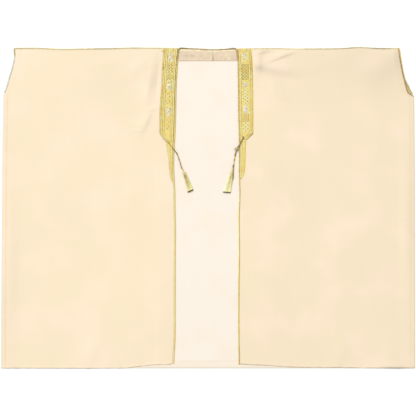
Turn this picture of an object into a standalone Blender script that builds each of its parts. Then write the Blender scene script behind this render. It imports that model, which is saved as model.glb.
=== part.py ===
# A sleeveless open-fronted cloak laid flat on its back, built as the pieces that its maker cuts and sews.
# Metres, +Z up. +Y is the shoulder end, and left and right are those of someone who looks down at it.
# The origin is under the middle of the garment, on the surface that it lies on.

from collections import namedtuple
from math import cos, pi, sin, tau

import bmesh
import bpy
import numpy as np

# Driving sizes
WIDTH = 1.81
LENGTH = 1.405
CLOTH = 0.0012
SEAM_GAP = 0.0003
EDGE_CORD = 0.0046
SHOULDER_CORD = 0.0036
ARMHOLE_CORD = 0.0034
TASSEL_CORD = 0.005
FACING = 0.001
BRAID = 0.001
RIB_HEIGHT = 0.0005

SIDE = WIDTH / 2
SHOULDER = LENGTH / 2
HEM = -LENGTH / 2

# Levels of what lies on what
BACK_TOP = CLOTH
ON_BACK = BACK_TOP + SEAM_GAP
FRONT_TOP = ON_BACK + CLOTH
ON_FRONT = FRONT_TOP + SEAM_GAP

# A front begins below the shoulder cord, and its band just below its own top edge
FRONT_TOP_DROP = SHOULDER_CORD + SEAM_GAP
BAND_TOP_DROP = FRONT_TOP_DROP + SEAM_GAP

SIGN = {"left": -1, "right": 1}

# Distance from the middle line, and how far the top edge sags there below its highest point
TOP_EDGE = (
    (-0.850, 0.0040),
    (-0.756, 0.0026),
    (-0.646, 0.0070),
    (-0.559, 0.0061),
    (-0.428, 0.0048),
    (-0.340, 0.0018),
    (-0.231, 0.0018),
    (-0.104, 0.0044),
    (-0.034, 0.0066),
    (0.019, 0.0096),
    (0.062, 0.0083),
    (0.115, 0.0057),
    (0.229, 0.0039),
    (0.447, 0.0061),
    (0.579, 0.0048),
    (0.675, 0.0000),
    (0.754, 0.0061),
    (0.842, 0.0020),
)

# Drop below the shoulder, and distance of the front edge's cord from the middle line
FRONT_LINE = {
    "left": (
        (0.000, 0.1265),
        (0.048, 0.1320),
        (0.135, 0.1385),
        (0.280, 0.1424),
        (0.398, 0.1463),
        (0.468, 0.1505),
        (0.530, 0.1508),
        (0.625, 0.1463),
        (0.700, 0.1452),
        (0.800, 0.1432),
        (0.900, 0.1441),
        (1.107, 0.1447),
        (1.308, 0.1462),
        (1.378, 0.1500),
    ),
    "right": (
        (0.000, 0.1265),
        (0.043, 0.1302),
        (0.135, 0.1328),
        (0.280, 0.1343),
        (0.398, 0.1368),
        (0.450, 0.1372),
        (0.555, 0.1367),
        (0.630, 0.1386),
        (0.748, 0.1352),
        (0.850, 0.1364),
        (0.930, 0.1362),
        (1.030, 0.1347),
        (1.308, 0.1350),
        (1.378, 0.1365),
    ),
}

# Drop below the shoulder, and inset of the hand opening's edge from the widest line
ARMHOLE = {
    "left": (
        (0.000, 0.0575),
        (0.036, 0.0595),
        (0.063, 0.0552),
        (0.098, 0.0468),
        (0.137, 0.0350),
        (0.180, 0.0214),
        (0.205, 0.0105),
    ),
    "right": (
        (0.000, 0.0690),
        (0.045, 0.0628),
        (0.095, 0.0540),
        (0.145, 0.0415),
        (0.175, 0.0268),
        (0.197, 0.0165),
        (0.2125, 0.0035),
    ),
}

# Drop below the shoulder, and how far the front's opening edge lies inside the back's
FRONT_SETBACK = {
    "left": ((0.000, 0.0), (0.205, 0.0)),
    "right": (
        (0.0000, 0.0),
        (0.1400, 0.0),
        (0.1580, 0.0040),
        (0.1760, 0.0085),
        (0.1960, 0.0110),
        (0.2035, 0.0095),
        (0.2125, 0.0),
    ),
}

# Drop below the shoulder, and inset of the closed side from the widest line
CLOSED_SIDE = {
    "left": ((0.205, 0.0105), (0.450, 0.0060), (0.800, 0.0030), (LENGTH, 0.0)),
    "right": ((0.2125, 0.0035), (0.500, 0.0015), (0.900, 0.0006), (LENGTH, 0.0)),
}

# Distance from the front edge, and how far the front's hem lies above the back's
HEM_LIFT = {
    "left": (
        (0.000, 0.0210),
        (0.010, 0.0178),
        (0.035, 0.0165),
        (0.070, 0.0158),
        (0.100, 0.0140),
        (0.130, 0.0100),
        (0.160, 0.0070),
        (0.200, 0.0012),
        (0.260, 0.0006),
        (0.800, 0.0006),
    ),
    "right": (
        (0.000, 0.0175),
        (0.022, 0.0166),
        (0.048, 0.0149),
        (0.092, 0.0136),
        (0.157, 0.0096),
        (0.223, 0.0053),
        (0.290, 0.0039),
        (0.440, 0.0035),
        (0.600, 0.0009),
        (0.800, 0.0009),
    ),
}
# Drop at which a front's rows begin to turn up towards that hem
HEM_TURN = 1.2

# Drop below the shoulder, and width of the gold band from the front edge
BAND = {
    "left": (
        (BAND_TOP_DROP, 0.0640),
        (0.160, 0.0610),
        (0.200, 0.0630),
        (0.280, 0.0670),
        (0.366, 0.0655),
        (0.376, 0.0630),
        (0.395, 0.0505),
        (0.411, 0.0350),
    ),
    "right": (
        (BAND_TOP_DROP, 0.0590),
        (0.085, 0.0610),
        (0.290, 0.0612),
        (0.376, 0.0595),
        (0.385, 0.0500),
        (0.400, 0.0330),
    ),
}

# The same for the narrow braid below it
TAIL = {
    "left": (
        (0.414, 0.0325),
        (0.440, 0.0290),
        (0.462, 0.0240),
        (0.490, 0.0180),
        (0.538, 0.0155),
        (0.566, 0.0140),
        (0.590, 0.0060),
    ),
    "right": (
        (0.403, 0.0285),
        (0.440, 0.0262),
        (0.500, 0.0245),
        (0.540, 0.0225),
        (0.560, 0.0160),
        (0.574, 0.0075),
    ),
}

# Share of the band's width from the front edge, and share of the rib height there
BAND_RIBS = (
    (0.000, 0.0),
    (0.030, 1.0),
    (0.100, 1.0),
    (0.130, 0.3),
    (0.250, 0.3),
    (0.280, 1.0),
    (0.330, 1.0),
    (0.360, 0.4),
    (0.640, 0.4),
    (0.670, 1.0),
    (0.720, 1.0),
    (0.750, 0.3),
    (0.870, 0.3),
    (0.900, 1.0),
    (0.970, 1.0),
    (1.000, 0.0),
)
TAIL_RIBS = (
    (0.00, 0.0),
    (0.25, 1.0),
    (0.50, 0.3),
    (0.75, 1.0),
    (1.00, 0.0),
)
# Rows of the ribbed part of a band, and the drop at which the ribs end
BAND_ROWS = 13
BAND_RIB_END = {"left": 0.372, "right": 0.374}

# The largest soft folds of the fronts. out is the distance from the middle line and drop is below the
# shoulder, both at the fold's middle, and heading is the way it runs, in degrees from straight across.
Fold = namedtuple("Fold", "side out drop length width heading height")
FOLDS = (
    Fold("left", 0.251, 0.148, 0.180, 0.022, 82, 0.0048),
    Fold("left", 0.272, 0.330, 0.100, 0.020, 65, 0.0034),
    Fold("left", 0.300, 0.080, 0.120, 0.030, 40, 0.0026),
    Fold("left", 0.862, 0.930, 0.560, 0.028, 90, 0.0034),
    Fold("left", 0.505, 1.330, 0.160, 0.040, 60, 0.0030),
    Fold("right", 0.322, 0.040, 0.140, 0.016, 158, 0.0042),
    Fold("right", 0.280, 0.102, 0.150, 0.018, 15, 0.0048),
    Fold("right", 0.303, 0.190, 0.110, 0.026, 50, 0.0024),
    Fold("right", 0.770, 0.070, 0.240, 0.050, 150, 0.0042),
    Fold("right", 0.868, 0.800, 0.700, 0.024, 90, 0.0030),
    Fold("right", 0.800, 1.350, 0.140, 0.035, 70, 0.0032),
    Fold("right", 0.580, 1.345, 0.120, 0.035, 100, 0.0024),
)
FLAT_MARGIN = 0.068
FOLD_FADE = 0.018

# Rows of points down a panel: where each block of rows ends, and how many rows it has
BAND_BLOCK_END = 0.60
ARMHOLE_ROWS = 13
ARMHOLE_TURN = 0.009
BAND_BLOCK_ROWS = 13
SKIRT_ROWS = 9
FRONT_COLUMNS = 22
COLUMN_CROWDING = 1.4
BACK_COLUMNS = 36

# Neck
NECK_LEG_DROPS = (0.047, 0.036, 0.026)
NECK_CORNER = 0.012
CORNER_STEPS = 4
NECK_STEP = 0.022
FACING_DEPTH = 0.061
FACING_ROWS = (0.025, 0.040, FACING_DEPTH)
FACING_SEAM_X = 0.0198
FACING_COLUMNS = 4

# Right hand opening's inner braid
BRAID_ROWS = 4
BRAID_COLUMNS = 3
BRAID_MARGIN = 0.0008

# Free cords, as points chosen by hand: x, y, height of the cord's middle, share of its thickness
CORD_ON_BACK = ON_BACK + TASSEL_CORD / 2
OVER_BAND = 0.0075
OVER_EDGE = 0.0096
CORD_ROUTE = {
    "left": (
        (-0.1755, 0.2880, OVER_BAND, 1.0),
        (-0.1655, 0.2762, OVER_BAND, 1.0),
        (-0.1580, 0.2660, 0.0088, 1.0),
        (-0.1505, 0.2560, OVER_EDGE, 1.0),
        (-0.1425, 0.2466, 0.0076, 1.0),
        (-0.1355, 0.2365, 0.0052, 1.0),
        (-0.1298, 0.2235, CORD_ON_BACK, 1.0),
        (-0.1250, 0.2085, CORD_ON_BACK, 1.0),
        (-0.1200, 0.1910, CORD_ON_BACK, 1.0),
        (-0.1145, 0.1745, 0.0052, 1.0),
        (-0.1089, 0.1632, 0.0074, 1.0),
        (-0.1069, 0.1584, 0.0077, 1.0),
    ),
    "right": (
        (0.1580, 0.3105, OVER_BAND, 1.0),
        (0.1510, 0.2990, OVER_BAND, 1.0),
        (0.1445, 0.2870, 0.0088, 1.0),
        (0.1380, 0.2750, OVER_EDGE, 1.0),
        (0.1318, 0.2650, 0.0084, 1.25),
        (0.1268, 0.2555, 0.0066, 1.7),
        (0.1228, 0.2435, 0.0048, 1.2),
        (0.1188, 0.2270, CORD_ON_BACK, 1.0),
        (0.1152, 0.2090, CORD_ON_BACK, 1.0),
        (0.1125, 0.1905, CORD_ON_BACK, 1.0),
        (0.1092, 0.1740, 0.0052, 1.0),
        (0.1058, 0.1625, 0.0074, 1.0),
        (0.1046, 0.1575, 0.0077, 1.0),
    ),
}
CORD_SPACING = 0.011

# Tassels: where the head begins, where the strands end, and half the width of their cut end
Tassel = namedtuple("Tassel", "neck tip half_end")
TASSELS = {
    "left": Tassel((-0.1066, 0.1577), (-0.0750, 0.0702), 0.0125),
    "right": Tassel((0.1044, 0.1568), (0.0820, 0.0628), 0.0160),
}
# Distance from the head's beginning, half width, half height
HEAD = (
    (0.000, 0.0030, 0.0030),
    (0.003, 0.0054, 0.0050),
    (0.008, 0.0068, 0.0059),
    (0.013, 0.0066, 0.0057),
    (0.016, 0.0058, 0.0052),
)
STRAND_SECTORS = 12
STRAND_RINGS = 3
STRAND_SECTIONS = 3
STRAND_SHARE = 0.70
STRAND_HEIGHT_AT_END = 0.0044
HEAD_MIDDLE = ON_BACK + 0.0062

# Colour, roughness, metallic
FINISHES = {
    "cream cloth": ((0.93, 0.80, 0.60), 0.8, 0.0),
    "facing cloth": ((0.80, 0.68, 0.52), 0.8, 0.0),
    "gold thread": ((0.80, 0.62, 0.24), 0.4, 0.6),
    "dark gold cord": ((0.42, 0.30, 0.10), 0.45, 0.6),
}


def through(rows, at):
    """Reads a smooth curve through a table's rows, at one place or at many."""
    x, y = np.array(rows, float).T
    slope = np.gradient(y, x)
    at = np.clip(at, x[0], x[-1])
    i = np.clip(np.searchsorted(x, at, side="right") - 1, 0, len(x) - 2)
    step = x[i + 1] - x[i]
    t = (at - x[i]) / step
    return (
        (2 * t**3 - 3 * t**2 + 1) * y[i]
        + (t**3 - 2 * t**2 + t) * step * slope[i]
        + (3 * t**2 - 2 * t**3) * y[i + 1]
        + (t**3 - t**2) * step * slope[i + 1]
    )


def straight(rows, at):
    """Reads the straight runs between a table's rows."""
    x, y = np.array(rows, float).T
    return np.interp(at, x, y)


def ease(share):
    """Goes softly from 0 to 1 as share does."""
    share = np.clip(share, 0, 1)
    return share * share * (3 - 2 * share)


def top_y(x):
    return SHOULDER - through(TOP_EDGE, x)


def sheet_y(x, drop):
    """Rows run straight across, but for the top edge's sag, which fades towards the hem."""
    high = top_y(x)
    return high + (HEM - high) * drop / LENGTH


def armhole_end(side):
    return ARMHOLE[side][-1][0]


def opening_line(side, drop):
    """Distance from the middle line to where the two cords of a hand opening meet, or to a closed side."""
    armhole = through(ARMHOLE[side], drop)
    closed = through(CLOSED_SIDE[side], drop)
    return SIDE - np.where(drop < armhole_end(side), armhole, closed)


def front_opening_line(side, drop):
    """The same for the front's edge, which draws back from the back's edge at the right opening."""
    return opening_line(side, drop) - straight(FRONT_SETBACK[side], drop)


def beside(line, side, drop, distance):
    """Shifts a line outwards by a distance square to it, although its points move straight across."""
    step = 0.002
    slope = (line(side, drop + step) - line(side, drop - step)) / (2 * step)
    return line(side, drop) + distance * np.sqrt(1 + slope**2)


def back_edge(side, drop):
    return opening_line(side, drop) - SEAM_GAP / 2


def front_outer_edge(side, drop):
    cloth = beside(front_opening_line, side, drop, -ARMHOLE_CORD - 1.5 * SEAM_GAP)
    return np.where(drop < armhole_end(side) - ARMHOLE_TURN / 2, cloth, back_edge(side, drop))


def front_edge(side, drop):
    return through(FRONT_LINE[side], drop) + EDGE_CORD / 2 + SEAM_GAP


def row_drops(side, first):
    """The drops below the shoulder at which a panel has its rows of points, from its own first one."""
    return np.concatenate(
        [
            [first],
            np.linspace(0, armhole_end(side) - ARMHOLE_TURN, ARMHOLE_ROWS)[1:],
            [armhole_end(side)],
            np.linspace(armhole_end(side), BAND_BLOCK_END, BAND_BLOCK_ROWS + 1)[1:],
            np.linspace(BAND_BLOCK_END, LENGTH, SKIRT_ROWS + 1)[1:],
        ]
    )


def front_y(side, drop, out):
    """A front's last rows turn up a little towards its own hem."""
    lift = through(HEM_LIFT[side], out - front_edge(side, LENGTH))
    share = ease((drop - HEM_TURN) / (LENGTH - HEM_TURN))
    return sheet_y(SIGN[side] * out, drop) + lift * share


def fold_height(side, out, drop):
    """How far the front is lifted off the back by its soft folds."""
    height = np.zeros(np.shape(out))
    for fold in FOLDS:
        if fold.side != side:
            continue
        angle = np.radians(fold.heading)
        across = out - fold.out
        down = drop - fold.drop
        lengthwise = (across * cos(angle) + down * sin(angle)) / (fold.length / 2)
        crosswise = (down * cos(angle) - across * sin(angle)) / fold.width
        height += fold.height * np.exp(-(lengthwise**2) - crosswise**2)
    from_band = ease((out - front_edge(side, drop) - FLAT_MARGIN) / FOLD_FADE)
    from_side = ease((front_outer_edge(side, drop) - out) / FOLD_FADE)
    from_shoulder = ease(drop / FOLD_FADE)
    return height * from_band * from_side * from_shoulder


def finish(name):
    if name in bpy.data.materials:
        return bpy.data.materials[name]
    colour, roughness, metallic = FINISHES[name]
    material = bpy.data.materials.new(name)
    material.use_nodes = True
    shader = material.node_tree.nodes["Principled BSDF"]
    shader.inputs["Base Color"].default_value = (*colour, 1)
    shader.inputs["Roughness"].default_value = roughness
    shader.inputs["Metallic"].default_value = metallic
    material.diffuse_color = (*colour, 1)
    return material


def place(name, data, finish_name):
    data.materials.append(finish(finish_name))
    piece = bpy.data.objects.new(name, data)
    bpy.context.scene.collection.objects.link(piece)
    return piece


def solid(name, points, faces, finish_name):
    """One closed body whose faces are turned outwards."""
    mesh = bpy.data.meshes.new(name)
    mesh.from_pydata([tuple(map(float, p)) for p in points], [], faces)
    work = bmesh.new()
    work.from_mesh(mesh)
    bmesh.ops.recalc_face_normals(work, faces=work.faces)
    work.to_mesh(mesh)
    work.free()
    return place(name, mesh, finish_name)


def wall(name, lower, upper, finish_name):
    """A wall between two grids of points that match row by row."""
    rows, columns = upper.shape[:2]
    number = np.arange(rows * columns).reshape(rows, columns)
    above = rows * columns
    faces = []
    for r in range(rows - 1):
        for c in range(columns - 1):
            corners = [number[r, c], number[r, c + 1], number[r + 1, c + 1], number[r + 1, c]]
            faces.append(tuple(int(n) for n in corners))
            faces.append(tuple(int(n) + above for n in reversed(corners)))
    rim = [*number[0], *number[1:, -1], *number[-1, -2::-1], *number[-2:0:-1, 0]]
    for here, there in zip(rim, rim[1:] + rim[:1]):
        faces.append((int(there), int(here), int(here) + above, int(there) + above))
    points = np.concatenate([lower.reshape(-1, 3), upper.reshape(-1, 3)])
    return solid(name, points, faces, finish_name)


def tube(name, points, diameter, finish_name, shares=None):
    """A cord: points down its middle, with a share of its thickness at each where it isn't even."""
    curve = bpy.data.curves.new(name, "CURVE")
    curve.dimensions = "3D"
    curve.bevel_depth = diameter / 2
    curve.bevel_resolution = 2
    curve.use_fill_caps = True
    spline = curve.splines.new("POLY")
    spline.points.add(len(points) - 1)
    for k, (x, y, z) in enumerate(points):
        spline.points[k].co = (x, y, z, 1)
        spline.points[k].radius = 1.0 if shares is None else float(shares[k])
    return place(name, curve, finish_name)


def grid(side, out, y, height):
    return np.stack([SIGN[side] * out, y, np.broadcast_to(height, out.shape)], axis=-1)


def make_back():
    left, right = row_drops("left", 0), row_drops("right", 0)
    share = np.linspace(0, 1, BACK_COLUMNS)
    x0 = -back_edge("left", left)[:, None]
    x1 = back_edge("right", right)[:, None]
    x = x0 + (x1 - x0) * share
    drop = left[:, None] + (right - left)[:, None] * share
    y = sheet_y(x, drop)
    lower = np.stack([x, y, np.zeros(x.shape)], axis=-1)
    upper = np.stack([x, y, np.full(x.shape, BACK_TOP)], axis=-1)
    wall("back", lower, upper, "cream cloth")


def front_columns(side, drop):
    """Distances from the middle line: the flat margin under the band, then ever wider columns."""
    inner = front_edge(side, drop)
    outer = front_outer_edge(side, drop)
    share = (np.arange(FRONT_COLUMNS + 1) / FRONT_COLUMNS) ** COLUMN_CROWDING
    beyond = (inner + FLAT_MARGIN)[:, None] + (outer - inner - FLAT_MARGIN)[:, None] * share
    return np.concatenate([inner[:, None], beyond], axis=1)


def make_front(side):
    drop = row_drops(side, FRONT_TOP_DROP)
    out = front_columns(side, drop)
    drops = np.broadcast_to(drop[:, None], out.shape)
    y = front_y(side, drops, out)
    lift = fold_height(side, out, drops)
    lower = grid(side, out, y, ON_BACK + lift)
    upper = grid(side, out, y, FRONT_TOP + lift)
    wall(f"front_{side}", lower, upper, "cream cloth")


def make_facing(side):
    """Half of the back-neck facing, its upper outer corner rounded to follow the neck cord."""
    reach = NECK_CORNER - EDGE_CORD / 2 - SEAM_GAP
    turn = np.linspace(0, pi / 2, CORNER_STEPS + 1)
    depth = np.concatenate([NECK_CORNER - reach * np.cos(turn), FACING_ROWS])
    line = through(FRONT_LINE[side], depth)
    inside = np.concatenate([reach * np.sin(turn), np.full(len(FACING_ROWS), reach)])
    outer = line - NECK_CORNER + inside
    seam = SIGN[side] * FACING_SEAM_X + SEAM_GAP / 2
    share = np.linspace(0, 1, FACING_COLUMNS)
    out = seam + (outer - seam)[:, None] * share
    y = top_y(SIGN[side] * out) - EDGE_CORD / 2 - depth[:, None]
    y[-1] = SHOULDER - FACING_DEPTH
    lower = grid(side, out, y, ON_BACK)
    upper = grid(side, out, y, ON_BACK + FACING)
    wall(f"neck_facing_{side}", lower, upper, "facing cloth")


def strip_rows(table, count, stop):
    """Even rows down to stop, then the table's own rows of the cut-off corner."""
    corner = [drop for drop, _ in table if drop > stop]
    return np.array([*np.linspace(table[0][0], stop, count), *corner])


def make_band(side):
    """The wide gold band, with raised ribs along its straight part."""
    drop = strip_rows(BAND[side], BAND_ROWS, BAND_RIB_END[side])
    share, rib = np.array(BAND_RIBS).T
    out = front_edge(side, drop)[:, None] + straight(BAND[side], drop)[:, None] * share
    drops = np.broadcast_to(drop[:, None], out.shape)
    y = front_y(side, drops, out)
    raised = np.tile(rib * RIB_HEIGHT, (len(drop), 1))
    raised[BAND_ROWS:] = 0
    lower = grid(side, out, y, ON_FRONT)
    upper = grid(side, out, y, ON_FRONT + BRAID + raised)
    wall(f"band_{side}", lower, upper, "gold thread")


def make_tail(side):
    """The narrow braid, whose two ribs run down to its tip."""
    drop, width = np.array(TAIL[side]).T
    share, rib = np.array(TAIL_RIBS).T
    out = front_edge(side, drop)[:, None] + width[:, None] * share
    drops = np.broadcast_to(drop[:, None], out.shape)
    y = front_y(side, drops, out)
    lower = grid(side, out, y, ON_FRONT)
    upper = grid(side, out, y, ON_FRONT + BRAID + rib * RIB_HEIGHT)
    wall(f"band_tail_{side}", lower, upper, "gold thread")


def make_neck_cord():
    """Up from the left front edge, across the back of the neck and down to the right front edge."""
    radius = EDGE_CORD / 2
    turn = np.linspace(0, pi / 2, CORNER_STEPS + 1)
    halves = {}
    for side in ("left", "right"):
        legs = np.array(NECK_LEG_DROPS)
        leg_x = through(FRONT_LINE[side], legs)
        corner_x = through(FRONT_LINE[side], NECK_CORNER) - NECK_CORNER
        corner_y = top_y(SIGN[side] * corner_x) - radius - NECK_CORNER
        x = np.concatenate([leg_x, corner_x + NECK_CORNER * np.cos(turn)])
        y = np.concatenate([sheet_y(SIGN[side] * leg_x, legs), corner_y + NECK_CORNER * np.sin(turn)])
        halves[side] = np.stack([SIGN[side] * x, y], axis=-1)
    start, stop = halves["left"][-1, 0], halves["right"][-1, 0]
    count = int((stop - start) / NECK_STEP) + 2
    x = np.linspace(start, stop, count)[1:-1]
    middle = np.stack([x, top_y(x) - radius], axis=-1)
    route = np.concatenate([halves["left"], middle, halves["right"][::-1]])
    height = np.full(len(route), ON_BACK + radius)
    tube("neck_cord", np.column_stack([route, height]), EDGE_CORD, "dark gold cord")


def make_shoulder_cord(side):
    """Along the shoulder seam, on the border of the back, from the neck to the hand opening."""
    out = front_columns(side, np.array([FRONT_TOP_DROP]))[0]
    out[-1] = opening_line(side, 0)
    radius = SHOULDER_CORD / 2
    x = SIGN[side] * out
    y = top_y(x) - radius
    height = np.full(len(x), ON_BACK + radius)
    tube(f"shoulder_cord_{side}", np.stack([x, y, height], axis=-1), SHOULDER_CORD, "gold thread")


def make_front_cord(side):
    """Down the front edge, on the back, from the end of the neck cord to the front's hem."""
    drop = row_drops(side, FRONT_TOP_DROP)
    first = NECK_LEG_DROPS[0] + EDGE_CORD / 2
    drop = np.concatenate([[first], drop[drop > first + EDGE_CORD]])
    radius = EDGE_CORD / 2
    out = through(FRONT_LINE[side], drop)
    y = front_y(side, drop, front_edge(side, drop))
    height = np.full(len(out), ON_BACK + radius)
    tube(f"front_cord_{side}", np.stack([SIGN[side] * out, y, height], axis=-1), EDGE_CORD, "gold thread")


def make_armhole_cords(side):
    """The front's cord lies on the border of the back, and the back's own cord lies just outside it."""
    drop = row_drops(side, FRONT_TOP_DROP)[:ARMHOLE_ROWS]
    radius = ARMHOLE_CORD / 2
    inner = beside(front_opening_line, side, drop, -radius - SEAM_GAP / 2)
    outer = beside(opening_line, side, drop, radius + SEAM_GAP / 2)
    y = front_y(side, drop, inner)
    for layer, out, height in (("front", inner, ON_BACK + radius), ("back", outer, SEAM_GAP + radius)):
        points = np.stack([SIGN[side] * out, y, np.full(len(out), height)], axis=-1)
        tube(f"armhole_cord_{layer}_{side}", points, ARMHOLE_CORD, "gold thread")


def make_armhole_braid(side):
    """The back's inner braid, which shows where the front's opening edge draws back from it."""
    drop = row_drops(side, FRONT_TOP_DROP)[ARMHOLE_ROWS - BRAID_ROWS : ARMHOLE_ROWS]
    inner = beside(front_opening_line, side, drop, SEAM_GAP)
    outer = back_edge(side, drop) - BRAID_MARGIN
    share = np.linspace(0, 1, BRAID_COLUMNS)
    out = inner[:, None] + (outer - inner)[:, None] * share
    drops = np.broadcast_to(drop[:, None], out.shape)
    y = front_y(side, drops, out)
    lower = grid(side, out, y, ON_BACK)
    upper = grid(side, out, y, ON_BACK + BRAID)
    wall(f"armhole_braid_{side}", lower, upper, "gold thread")


def smooth_route(rows, spacing):
    """Points an even spacing apart, on a smooth curve through a route's own points."""
    rows = np.array(rows, float)
    step = np.linalg.norm(np.diff(rows[:, :3], axis=0), axis=1)
    along = np.concatenate([[0], np.cumsum(step)])
    at = np.linspace(0, along[-1], int(along[-1] / spacing) + 2)
    columns = [through(np.column_stack([along, rows[:, k]]), at) for k in range(rows.shape[1])]
    return np.stack(columns, axis=-1)


def make_tassel_cord(side):
    route = smooth_route(CORD_ROUTE[side], CORD_SPACING)
    tube(f"tassel_cord_{side}", route[:, :3], TASSEL_CORD, "gold thread", shares=route[:, 3])


def tassel_frame(tassel):
    """The tassel's length, the way that it points and the way across it."""
    run = np.subtract(tassel.tip, tassel.neck)
    length = float(np.linalg.norm(run))
    ahead = np.array([*(run / length), 0])
    across = np.array([-ahead[1], ahead[0], 0])
    return length, ahead, across


def strand_section(tassel, at):
    """Half width, half height and middle's height of the bunch of strands, at a distance from the head."""
    length = tassel_frame(tassel)[0]
    root, root_width, root_height = HEAD[-1]
    share = (at - root) / (length - root)
    half_width = root_width + (tassel.half_end - root_width) * share
    half_height = root_height + (STRAND_HEIGHT_AT_END - root_height) * share
    low = HEAD_MIDDLE - root_height
    return half_width, half_height, low + (ON_BACK + SEAM_GAP - low) * share + half_height


def web_cells(rings, hub):
    """The cells between a web's rings, and those between its innermost ring and its hub."""
    for ring, inner in zip(rings, rings[1:]):
        for k in range(STRAND_SECTORS):
            after = (k + 1) % STRAND_SECTORS
            yield [ring[k], ring[after], inner[after], inner[k]]
    for k in range(STRAND_SECTORS):
        yield [rings[-1][k], rings[-1][(k + 1) % STRAND_SECTORS], hub]


def make_tassel(side):
    """A wound head whose end is a web of cells, with a strand growing out of each cell."""
    tassel = TASSELS[side]
    length, ahead, across = tassel_frame(tassel)
    upward = np.array([0, 0, 1])
    start = np.array([*tassel.neck, 0])
    points, places, faces = [], [], []

    def add(section, shares):
        """New points on a section, at shares of its half width and half height."""
        at, half_width, half_height, middle = section
        for u, v in shares:
            height = middle + half_height * v
            points.append(start + ahead * at + across * half_width * u + upward * height)
            places.append((u, v))
        return list(range(len(points) - len(shares), len(points)))

    def join(ring, other):
        for k in range(len(ring)):
            after = (k + 1) % len(ring)
            faces.append((ring[k], ring[after], other[after], other[k]))

    angles = np.arange(STRAND_SECTORS) * tau / STRAND_SECTORS
    rim = np.stack([np.cos(angles), np.sin(angles)], axis=-1)
    rings = [add((*row, HEAD_MIDDLE), rim) for row in HEAD]
    faces.append(tuple(rings[0]))
    for ring, after in zip(rings, rings[1:]):
        join(ring, after)

    root = (*HEAD[-1], HEAD_MIDDLE)
    web = [rings[-1]]
    for ring in range(STRAND_RINGS - 1, 0, -1):
        web.append(add(root, rim * ring / STRAND_RINGS))
    hub = add(root, [(0, 0)])[0]

    root_at = HEAD[-1][0]
    for cell in list(web_cells(web, hub)):
        corners = np.array([places[n] for n in cell])
        middle = corners.mean(axis=0)
        shrunk = middle + STRAND_SHARE * (corners - middle)
        last = cell
        for at in np.linspace(root_at, length, STRAND_SECTIONS + 1):
            here = add((at, *strand_section(tassel, at)), shrunk)
            join(last, here)
            last = here
        faces.append(tuple(last))
    solid(f"tassel_{side}", points, faces, "gold thread")


def main():
    for leftover in list(bpy.data.objects):
        bpy.data.objects.remove(leftover)
    make_back()
    make_neck_cord()
    for side in ("left", "right"):
        make_front(side)
        make_facing(side)
        make_band(side)
        make_tail(side)
        make_shoulder_cord(side)
        make_front_cord(side)
        make_armhole_cords(side)
        make_tassel_cord(side)
        make_tassel(side)
    make_armhole_braid("right")


main()
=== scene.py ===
from collections import namedtuple
from math import atan2, ceil, cos, pi, sin, tau

import bpy
import numpy as np
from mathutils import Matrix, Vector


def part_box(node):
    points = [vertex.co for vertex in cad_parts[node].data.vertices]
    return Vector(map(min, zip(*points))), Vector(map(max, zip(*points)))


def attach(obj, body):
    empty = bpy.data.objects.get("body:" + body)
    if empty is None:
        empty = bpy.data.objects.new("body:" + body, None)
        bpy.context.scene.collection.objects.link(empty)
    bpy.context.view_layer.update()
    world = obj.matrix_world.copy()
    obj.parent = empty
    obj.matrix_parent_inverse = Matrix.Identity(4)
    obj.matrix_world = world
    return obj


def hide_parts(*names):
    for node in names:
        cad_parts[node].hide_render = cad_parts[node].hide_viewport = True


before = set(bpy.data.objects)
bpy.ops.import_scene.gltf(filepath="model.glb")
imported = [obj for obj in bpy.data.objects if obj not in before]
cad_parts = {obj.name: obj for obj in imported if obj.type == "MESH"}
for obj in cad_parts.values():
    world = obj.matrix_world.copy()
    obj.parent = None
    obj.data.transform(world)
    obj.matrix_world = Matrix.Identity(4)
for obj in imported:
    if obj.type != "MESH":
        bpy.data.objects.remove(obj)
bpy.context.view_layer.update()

# metres, +Y towards the shoulders; "drop" is the distance below the shoulder line,
# "out" is the distance from the middle line, left and right are those of someone who looks down
garment = {
    "width": 1.81, "length": 1.405, "wall": 0.0012, "gap": 0.0003, "edgeCord": 0.0046,
    "shoulderCord": 0.0036, "armholeCord": 0.0034,
}
sideSign = {"left": -1, "right": 1}
sideX = garment["width"] / 2
hemDrop = garment["length"]
shoulderY = hemDrop / 2
hemY = -shoulderY
gap = garment["gap"]
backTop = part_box("back")[1].z
onBack = backTop + gap
frontTop = onBack + garment["wall"]
onFront = frontTop + gap
frontTopDrop = garment["shoulderCord"] + gap


def colour(red, green, blue):
    # scene colour from a colour as a screen shows it, each part out of 255
    parts = np.array([red, green, blue]) / 255
    linear = np.where(parts <= 0.04045, parts / 12.92, ((parts + 0.055) / 1.055) ** 2.4)
    return (*linear.tolist(), 1.0)


def sided(name, side):
    return name + side.capitalize()


def stacked(*parts):
    # rows of numbers, from arrays and numbers that fit each other
    return np.stack(np.broadcast_arrays(*parts), axis=-1)


def setInputs(node, values):
    for name, value in values.items():
        node.inputs[name].default_value = value


def deselectAll():
    bpy.ops.object.select_all(action="DESELECT")
    bpy.context.view_layer.objects.active = None


def activate(piece):
    deselectAll()
    piece.select_set(True)
    bpy.context.view_layer.objects.active = piece


def settle(piece):
    # the piece's place goes into its mesh
    activate(piece)
    bpy.ops.object.transform_apply(location=True, rotation=True, scale=True)


def finishPiece(piece, material, slot, *nodes):
    piece.data.materials.clear()
    piece.data.materials.append(material)
    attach(piece, "root")
    if nodes:
        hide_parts(*nodes)


# Camera: straight above, long lens
print("camera, floor and lights")
camera = {"middle": (0.0011, -0.0015), "height": 4.2, "seenWidth": 1.82}


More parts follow.
